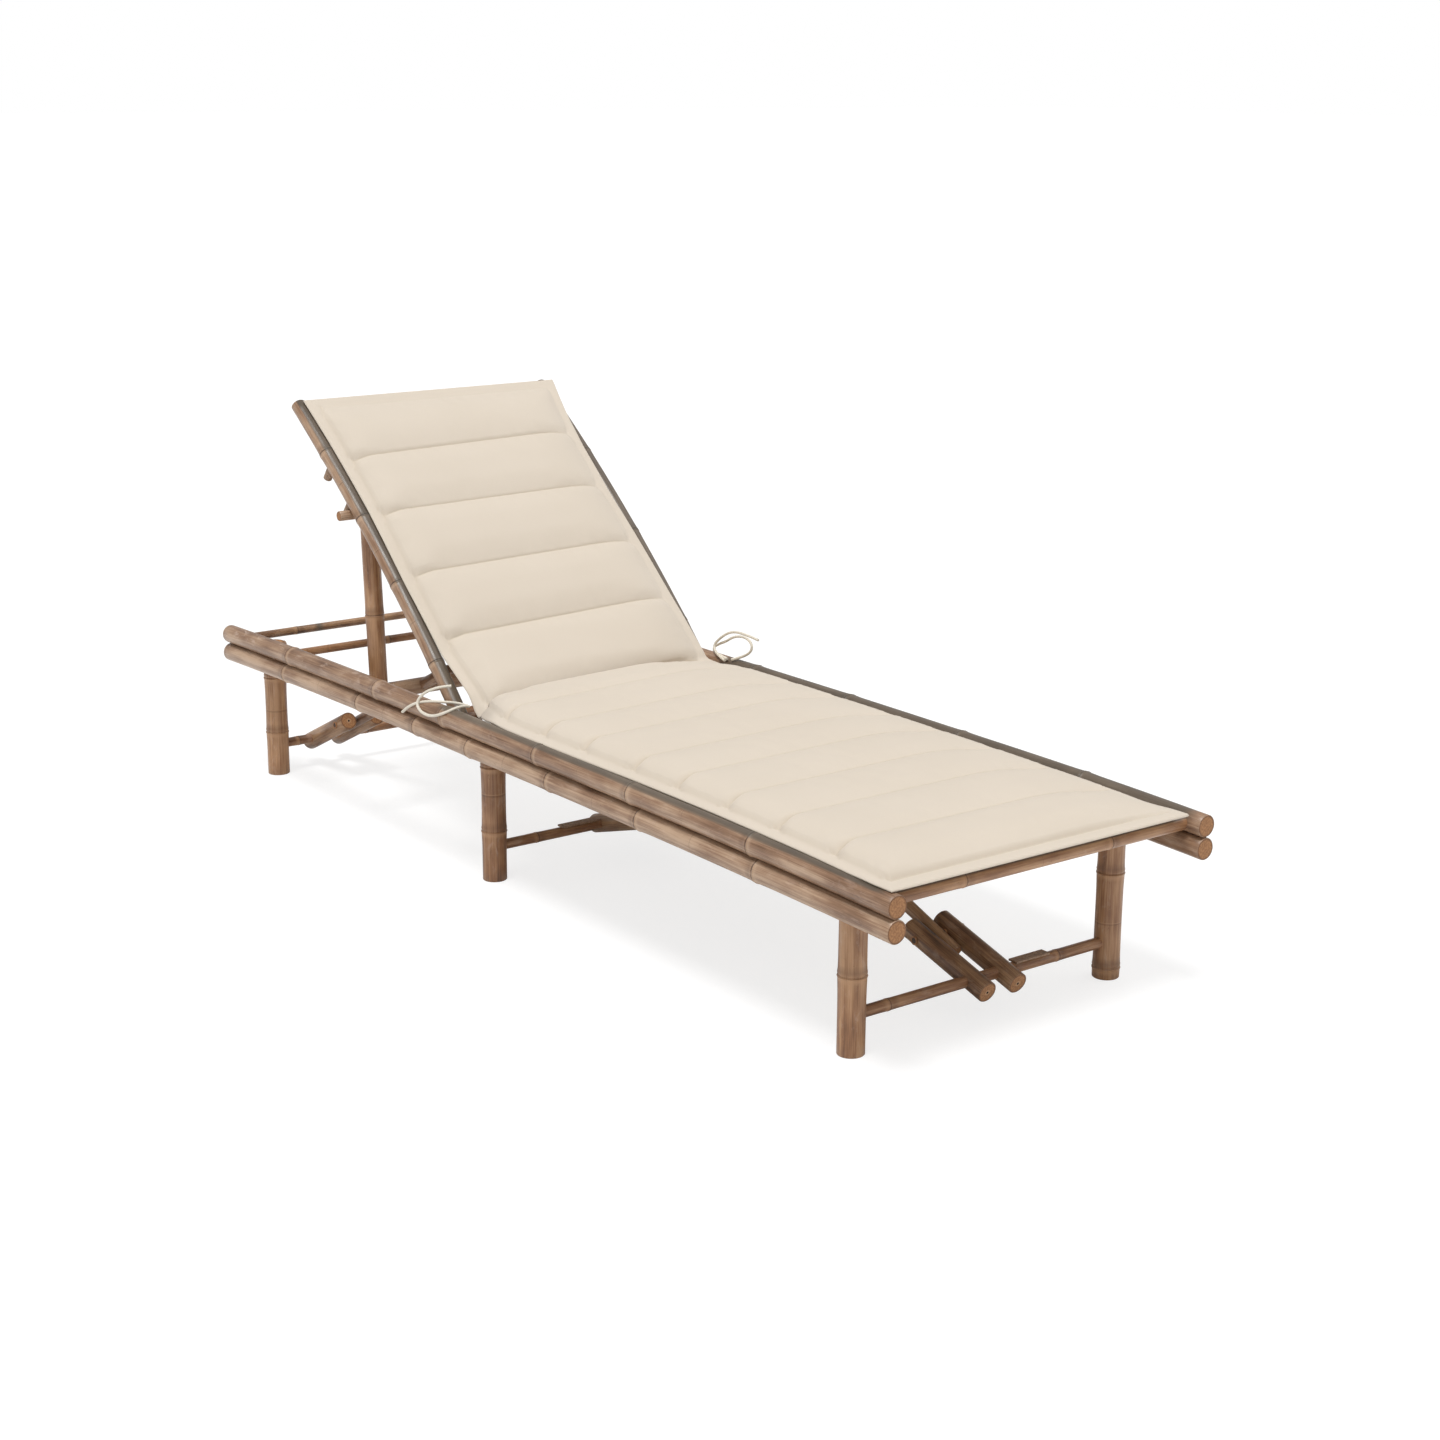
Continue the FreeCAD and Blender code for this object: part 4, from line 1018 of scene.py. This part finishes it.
# Stuffing pressure, simulated as cloth
SWELL_SETTINGS = {
    "vertex_group_mass": "sewn", "quality": 3, "mass": 0.3, "use_pressure": True,
    "uniform_pressure_force": 6.0, "shrink_min": -0.004,
}
SWELL_FRAMES = 12
SWELL_CAP = 0.004
SEWN_REACH = 0.005
LEAST_SHIFT = 1e-9


def soft_step(t):
    t = np.clip(t, 0, 1)
    return t * t * (3 - 2 * t)


def hill(share):
    """0 at both seams of a pad and 1 half way between them"""
    return 1 - (2 * share - 1) ** 2


def cushion_line(fold_y, join_length):
    """Points of the hem's underside from the foot edge over the fold to the top edge, and lengths there"""
    points = []
    for y in np.arange(FOOT_Y, fold_y - FOLD_TURN, LINE_STEP):
        kept = 1 - soft_step((y - BOW_FADE_FROM) / BOW_FADE_LENGTH)
        points.append((y, HEM_LOW_Z + RAIL_BOW_UP * (1 - abs(y) ** BOW_POWER) * kept))
    corner = np.array([fold_y, HEM_LOW_Z])
    onward = np.array(back_point(join_length, BACK_HEM_LOW).yz) - corner
    straight_length = np.linalg.norm(onward)
    onward = onward / straight_length
    begin = corner - np.array([FOLD_TURN, 0])
    turn_end = min(FOLD_TURN, straight_length)
    finish = corner + onward * turn_end
    for t in np.linspace(0, 1, FOLD_TURN_POINTS):
        points.append(tuple(begin * (1 - t) ** 2 + corner * (2 * t * (1 - t)) + finish * t ** 2))
    for reach in np.arange(turn_end + LINE_STEP, straight_length, LINE_STEP):
        points.append(tuple(corner + onward * reach))
    for length in [*np.arange(join_length + LINE_STEP, BACK_HEM_END, LINE_STEP), BACK_HEM_END]:
        points.append(tuple(back_point(length, BACK_HEM_LOW).yz))
    points = np.array(points)
    along = np.concatenate([[0.0], np.cumsum(np.linalg.norm(np.diff(points, axis=0), axis=1))])
    return points, along


def along_at_back(points, along, length):
    at = back_point(length, BACK_HEM_LOW)
    gaps = (points[:, 0] - at.y) ** 2 + (points[:, 1] - at.z) ** 2
    return along[int(np.argmin(gaps))]


def side_line(fold_y, join_length, which):
    """A side's line, its lengths, and the lengths of foot edge, seams, fold and top edge on it"""
    points, along = cushion_line(fold_y, join_length)
    stations = [0.0] + [pair[which] - FOOT_Y for pair in SEAT_SEAMS]
    stations.append(fold_y - FOLD_BEFORE_CORNER - FOOT_Y)
    stations += [along_at_back(points, along, pair[which]) for pair in BACK_SEAMS]
    return points, along, np.array(stations + [along[-1]])


near_line = side_line(NEAR_FOLD_Y, NEAR_FOLD_JOIN, 0)
far_line = side_line(FAR_FOLD_Y, FAR_FOLD_JOIN, 1)
# Stations common to both sides, midway between theirs
seam_stations = (near_line[2] + far_line[2]) / 2
total_length = seam_stations[-1]
seams = seam_stations[1:-1]
fold_station = seam_stations[1 + len(SEAT_SEAMS)]


def line_place(line, at):
    """y and z of a side's line at common stations"""
    points, along, stations = line
    own = np.interp(at, seam_stations, stations)
    return np.stack([np.interp(own, along, points[:, k]) for k in (0, 1)], axis=1)


def edge_line(seat_points, back_points, at):
    """Side edge of the hem at stations, softly curved through its points"""
    points, along, stations = far_line
    own = [y - FOOT_Y for y, _ in seat_points] + [along_at_back(points, along, s) for s, _ in back_points]
    places = np.interp(own, stations, seam_stations)
    values = [x for _, x in seat_points + back_points]
    fine = np.linspace(-EDGE_MARGIN, total_length + EDGE_MARGIN, EDGE_SAMPLES)
    level = np.pad(np.interp(fine, places, values), SMOOTH_SAMPLES, mode="edge")
    kernel = bell(np.arange(-SMOOTH_SAMPLES, SMOOTH_SAMPLES + 1), SMOOTH_WIDTH)
    level = np.convolve(level, kernel / kernel.sum(), mode="valid")
    return np.interp(at, fine, level)


def cushion_rows():
    """Stations of the grid rows, closer together at the seams and ends"""
    wanted = list(np.linspace(0, total_length, int(total_length / ROW_GAP)))
    wanted += list(EDGE_COLUMNS) + [total_length - e for e in EDGE_COLUMNS]
    for seam in seams:
        wanted += [seam + sign * offset for offset in ROWS_BESIDE_SEAM for sign in (-1, 1)]
    kept = sorted({0.0, *(round(float(seam), ROW_DIGITS) for seam in (*seams, total_length))})
    for place in sorted(set(round(float(w), ROW_DIGITS) for w in wanted)):
        if 0 <= place <= total_length and np.min(np.abs(np.array(kept) - place)) >= LEAST_ROW:
            kept.append(place)
            kept.sort()
    return np.array(kept)


class Quilt:
    """Grid of the cushion by rows and columns, with each point's distances from edges and seams"""

    def __init__(self):
        at = cushion_rows()
        near = edge_line(SEAT_NEAR, BACK_NEAR, at)[:, None]
        far = edge_line(SEAT_FAR, BACK_FAR, at)[:, None]
        edge = np.array(EDGE_COLUMNS)
        middle = np.linspace(0, 1, MIDDLE_COLUMNS + 2)[1:-1]
        inner_near = near + edge[-1]
        inner_far = far - edge[-1]
        x = np.hstack([near + edge, inner_near + (inner_far - inner_near) * middle, far - edge[::-1]])
        self.at = at
        self.x = x
        self.place = at[:, None] + 0 * x
        self.near_gap = x - near
        self.far_gap = far - x
        self.side_gap = np.minimum(self.near_gap, self.far_gap)
        self.rim = np.minimum(self.side_gap, np.minimum(self.place, total_length - self.place))
        self.number = np.clip(np.searchsorted(seams, at, side="right") - 1, 0, len(seams) - 2)
        start = seams[self.number]
        self.share = np.clip((at - start) / (seams[self.number + 1] - start), 0, 1)[:, None]
        self.to_seam = np.min(np.abs(seams[:, None] - at[None, :]), axis=0)[:, None]
        self.on_seat = (at < fold_station)[:, None]
        self.at_fold = (np.abs(at - fold_station) < FOLD_SEAM_HALF)[:, None]
        # Distances inside the sewn outline of the pads
        puffed = PAD_OVERHANG * soft_step(hill(self.share) * OVERHANG_SLOPE)
        self.near_inside = self.near_gap - HEM_WIDTH + puffed
        self.far_inside = self.far_gap - HEM_WIDTH + puffed
        self.foot_inside = self.place - seams[0]
        self.top_inside = seams[-1] - self.place
        self.from_end = np.minimum(self.foot_inside, self.top_inside)
        self.near_foot = np.minimum(self.near_inside, self.foot_inside)
        self.inside = np.minimum(np.minimum(self.near_inside, self.far_inside), self.from_end)

    def by_place(self, seat, back, fold):
        """One value for each row, by where it lies"""
        return np.where(self.at_fold, fold, np.where(self.on_seat, seat, back))


def rounded(gap, reach, inner, outer):
    """0 at the sewn edge, 1 at reach inside it, round as a stuffed edge"""
    return (1 - (1 - np.clip(gap / reach, 0, 1)) ** inner) ** outer


def pinched(rise, gap, pinched_rise, reach):
    return pinched_rise + (rise - pinched_rise) * soft_step(gap / reach)


def pad_levels(quilt):
    """Top and underside of the pads and the hem, above the hem's underside"""
    in_channel = np.clip(quilt.to_seam / quilt.by_place(*SEAM_HALVES), 0, 1)
    beside = 1 - (1 - in_channel) ** CHANNEL_POWER
    channel = CHANNEL_SHARE * beside + (1 - CHANNEL_SHARE) * hill(quilt.share)
    crown = rounded(quilt.near_foot, *NEAR_EDGE)
    crown = crown * rounded(np.minimum(quilt.far_inside, quilt.top_inside), *FAR_EDGE)
    rise = quilt.by_place(*SEAM_RISES)
    rise = pinched(rise, np.minimum(quilt.near_inside, quilt.from_end), *NEAR_PINCH)
    far_rise = pinched(rise, quilt.far_inside, *FAR_PINCH)
    rise = np.where(quilt.on_seat & ~quilt.at_fold, far_rise, rise)
    far_drop = FAR_RISE_SHARE + (1 - FAR_RISE_SHARE) * soft_step(quilt.far_gap / FAR_RISE_REACH)
    level = (rise + (PAD_RISE - rise) * channel) * np.where(quilt.on_seat, far_drop, 1.0)
    top = HEM_THICK + crown * (np.maximum(level, HEM_THICK) - HEM_THICK)
    top = top + puckers(quilt, crown)
    top = top - HEM_GROOVE * bell(quilt.near_foot, GROOVE_HALF) * (quilt.inside > -LINE_OVER_HEM)
    low = -PAD_SINK * crown * soft_step((fold_station - SINK_FADE - quilt.at) / SINK_FADE)[:, None]
    round_rim = np.sqrt(np.clip(1 - (1 - np.clip(quilt.rim / RIM_ROUND, 0, 1)) ** 2, 0, 1))
    half_thick = HEM_THICK / 2 * round_rim * RIM_SHARE + RIM_LEAST
    thin = quilt.rim < RIM_ROUND
    top = np.where(thin, HEM_THICK / 2 + half_thick, top)
    low = np.where(thin, HEM_THICK / 2 - half_thick, low)
    return top, low


def puckers(quilt, crown):
    """Small waves across the seams and along the near hem"""
    phases = rng(5).uniform(0, WHOLE_TURN, (2, len(seams)))
    wave = 0.0
    for turns, share, phase in zip(PUCKER_TURNS, PUCKER_SHARES, phases):
        wave = wave + share * np.sin(quilt.x * turns + phase[quilt.number][:, None])
    at_seams = PUCKER_RISE * wave * np.exp(-quilt.to_seam / PUCKER_REACH) * crown
    along_wave = np.sin(quilt.place * HEM_WAVE_TURNS[0] + HEM_WAVE_PHASES[0])
    side_phase = np.sign(quilt.x) * HEM_WAVE_PHASES[1]
    along_wave = along_wave + HEM_WAVE_SHARE * np.sin(quilt.place * HEM_WAVE_TURNS[1] + side_phase)
    from_line = np.abs(quilt.near_gap - HEM_WIDTH)
    return at_seams + HEM_WAVE_RISE * along_wave * np.exp(-from_line / PUCKER_REACH)


def dip_from(place, depth, start, run):
    return depth * soft_step((place - start) / run)


def hem_dip(quilt):
    """How far the hem hangs below its line, deepest at the fold's near corner"""
    seat_y = np.where(quilt.on_seat[:, 0], line_place(near_line, quilt.at)[:, 0], 1.0)
    from_fold = quilt.at - fold_station
    near_dip = dip_from(seat_y, *FOOT_DIP) + dip_from(seat_y, *MIDDLE_DIP)
    near_dip = near_dip + dip_from(from_fold, *CORNER_DIP)
    near_dip = near_dip * soft_step((CORNER_BEYOND - from_fold) / CORNER_BEYOND)
    far_dip = dip_from(seat_y, *FAR_DIP) * soft_step(-from_fold / FAR_FADE)
    dip = np.where(quilt.x < 0, near_dip[:, None], far_dip[:, None])
    reach = np.where(quilt.x < 0, NEAR_DIP_REACH, FAR_DIP_REACH)
    return dip * soft_step((reach - quilt.side_gap) / reach)


def sheet_points(quilt, levels):
    """Points of the sheets at these levels above a surface spread between the near and far lines"""
    over = np.clip((quilt.x - NEAR_SIDE_X) / (FAR_SIDE_X - NEAR_SIDE_X), 0, 1)[:, :, None]
    before, here, after = (
        line_place(near_line, at)[:, None, :] * (1 - over) + line_place(far_line, at)[:, None, :] * over
        for at in (quilt.at - SLOPE_STEP, quilt.at, quilt.at + SLOPE_STEP))
    way = after - before
    way = way / np.linalg.norm(way, axis=2, keepdims=True)
    sheets = []
    for level in levels:
        y = here[:, :, 0] - way[:, :, 1] * level
        z = here[:, :, 1] + way[:, :, 0] * level
        sheets.append(np.stack([quilt.x, y, z], axis=2).reshape(-1, 3))
    return np.vstack(sheets)


def closed_faces(rows, columns):
    """Faces of an upper and a lower grid with a wall around them"""
    size = rows * columns
    grid = np.arange(size).reshape(rows, columns)
    quads = np.stack([grid[:-1, :-1], grid[:-1, 1:], grid[1:, 1:], grid[1:, :-1]], axis=2).reshape(-1, 4)
    faces = [quads, quads[:, ::-1] + size]
    for strip, flip in ((grid[:, 0], False), (grid[:, -1], True), (grid[0, :], True), (grid[-1, :], False)):
        wall = np.stack([strip[:-1], strip[1:], strip[1:] + size, strip[:-1] + size], axis=1)
        faces.append(wall[:, ::-1] if flip else wall)
    return np.vstack(faces)


def cushion_mesh():
    """Closed quilted sheet, and which of its points are sewn"""
    quilt = Quilt()
    top, low = pad_levels(quilt)
    dip = hem_dip(quilt)
    verts = sheet_points(quilt, (top - dip, low - dip))
    faces = closed_faces(*quilt.x.shape)
    uvs = np.stack([quilt.x, quilt.place], axis=2).reshape(-1, 2)
    mesh = mesh_of("cushion", verts.tolist(), faces.tolist(), np.vstack([uvs, uvs]))
    stitched = bell(quilt.to_seam, STITCH_HALF) * (quilt.inside > PADDED_FROM)
    hem_line = STITCH_SHARE * bell(quilt.near_foot, STITCH_HALF) * (quilt.inside > -LINE_OVER_HEM)
    marks = np.clip(stitched + hem_line, 0, 1).ravel().tolist()
    mark_points(mesh, "seam", marks + marks)
    mesh.polygons.foreach_set("use_smooth", [True] * len(faces))
    mesh.materials.append(material("cloth"))
    free = (quilt.inside > SEWN_REACH) & (quilt.to_seam > SEWN_REACH)
    return mesh, np.concatenate([~free.ravel(), np.ones(free.size, bool)])


def point_places(mesh):
    places = np.zeros(len(mesh.vertices) * 3)
    mesh.vertices.foreach_get("co", places)
    return places.reshape(-1, 3)


def swollen(obj, sewn):
    """Stuffing pressure between the seams by cloth simulation, with the swelling capped"""
    scene = bpy.context.scene
    group = obj.vertex_groups.new(name="sewn")
    group.add([int(i) for i in np.nonzero(sewn)[0]], 1.0, "REPLACE")
    cloth = obj.modifiers.new("cloth", "CLOTH")
    for setting, value in SWELL_SETTINGS.items():
        setattr(cloth.settings, setting, value)
    cloth.settings.effector_weights.gravity = 0
    cloth.collision_settings.use_collision = False
    cloth.point_cache.frame_start = 1
    cloth.point_cache.frame_end = SWELL_FRAMES
    for frame_number in range(1, SWELL_FRAMES + 1):
        scene.frame_set(frame_number)
    start = point_places(obj.data)
    shift = point_places(obj.evaluated_get(bpy.context.evaluated_depsgraph_get()).data) - start
    size = np.linalg.norm(shift, axis=1, keepdims=True)
    shift = shift * np.minimum(1.0, SWELL_CAP / np.maximum(size, LEAST_SHIFT))
    obj.modifiers.remove(cloth)
    obj.vertex_groups.remove(group)
    obj.data.vertices.foreach_set("co", (start + shift).ravel())
    obj.data.update()
    scene.frame_set(1)


cushion_data, sewn_points = cushion_mesh()
cushion = placed("cushion", cushion_data)
swollen(cushion, sewn_points)
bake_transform(cushion)
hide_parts("seat_cushion", "back_cushion")

# Floor and backdrop, lit for the object and brighter for the camera
FLOOR_HALF = 60.0
FLOOR_ALBEDO = 0.9
FLOOR_LIFT = 1.12
FLOOR_LIFT_SHARE = 0.68
AMBIENT = 0.50
WHITE = (1.0, 1.0, 1.0)


def plain_shader(tree, kind, colour, strength=None):
    node = tree.nodes.new(kind)
    node.inputs[0].default_value = colour + (1.0,)
    if strength is not None:
        node.inputs[1].default_value = strength
    return node.outputs[0]


def camera_rays(tree):
    return tree.nodes.new("ShaderNodeLightPath").outputs["Is Camera Ray"]


def mixed_output(kind, factor, first, second):
    """Two shaders mixed by a factor, at the tree's output"""
    mix = tree.nodes.new("ShaderNodeMixShader")
    for socket, value in zip(mix.inputs, (factor, first, second)):
        tree.links.new(value, socket)
    tree.links.new(mix.outputs[0], tree.nodes.new(kind).inputs[0])


floor_mesh = bpy.data.meshes.new("floor")
corners = [(-FLOOR_HALF, -FLOOR_HALF, 0), (FLOOR_HALF, -FLOOR_HALF, 0),
           (FLOOR_HALF, FLOOR_HALF, 0), (-FLOOR_HALF, FLOOR_HALF, 0)]
floor_mesh.from_pydata(corners, [], [(0, 1, 2, 3)])
floor_paint = bpy.data.materials.new("floor")
floor_paint.use_nodes = True
tree = floor_paint.node_tree
tree.nodes.clear()
diffuse = plain_shader(tree, "ShaderNodeBsdfDiffuse", (FLOOR_ALBEDO,) * 3)
lift = plain_shader(tree, "ShaderNodeEmission", WHITE, FLOOR_LIFT)
mixed_output("ShaderNodeOutputMaterial", times(camera_rays(tree), FLOOR_LIFT_SHARE), diffuse, lift)
floor_mesh.materials.append(floor_paint)
floor = placed("floor", floor_mesh)

world = bpy.data.worlds.new("studio")
bpy.context.scene.world = world
world.use_nodes = True
tree = world.node_tree
tree.nodes.clear()
light = plain_shader(tree, "ShaderNodeBackground", WHITE, AMBIENT)
seen = plain_shader(tree, "ShaderNodeBackground", WHITE)
mixed_output("ShaderNodeOutputWorld", camera_rays(tree), light, seen)


def sun(name, towards, strength, spread):
    """Soft far light; towards is the way from the object to the light, spread is in degrees"""
    data = bpy.data.lights.new(name, "SUN")
    data.energy = strength
    data.angle = math.radians(spread)
    placed(name, data).rotation_euler = (-Vector(towards)).to_track_quat("-Z", "Y").to_euler()


sun("key", (-0.30, -0.17, 0.94), 2.15, 18.0)
sun("rim", (0.60, -0.10, 0.70), 0.45, 40.0)

# Camera solved from the photo
CAMERA_AT = (-2.370, -3.307, 1.368)
YAW = math.radians(37.33)
PITCH = math.radians(15.14)
ROLL = math.radians(0.42)
FOCAL_PIXELS = 2420.6
PICTURE_PIXELS = 1440.0
SENSOR = 36.0
forward = Vector((math.sin(YAW) * math.cos(PITCH), math.cos(YAW) * math.cos(PITCH), -math.sin(PITCH)))
level = Vector((math.cos(YAW), -math.sin(YAW), 0.0))
above = level.cross(forward)
right = level * math.cos(ROLL) + above * math.sin(ROLL)
top = -level * math.sin(ROLL) + above * math.cos(ROLL)
camera_data = bpy.data.cameras.new("camera")
camera_data.sensor_width = SENSOR
camera_data.lens = FOCAL_PIXELS / PICTURE_PIXELS * SENSOR
camera = placed("camera", camera_data)
turn = Matrix((right, top, -forward)).transposed()
camera.matrix_world = Matrix.Translation(CAMERA_AT) @ turn.to_4x4()
bpy.context.scene.camera = camera
bpy.context.scene.view_settings.view_transform = "Standard"
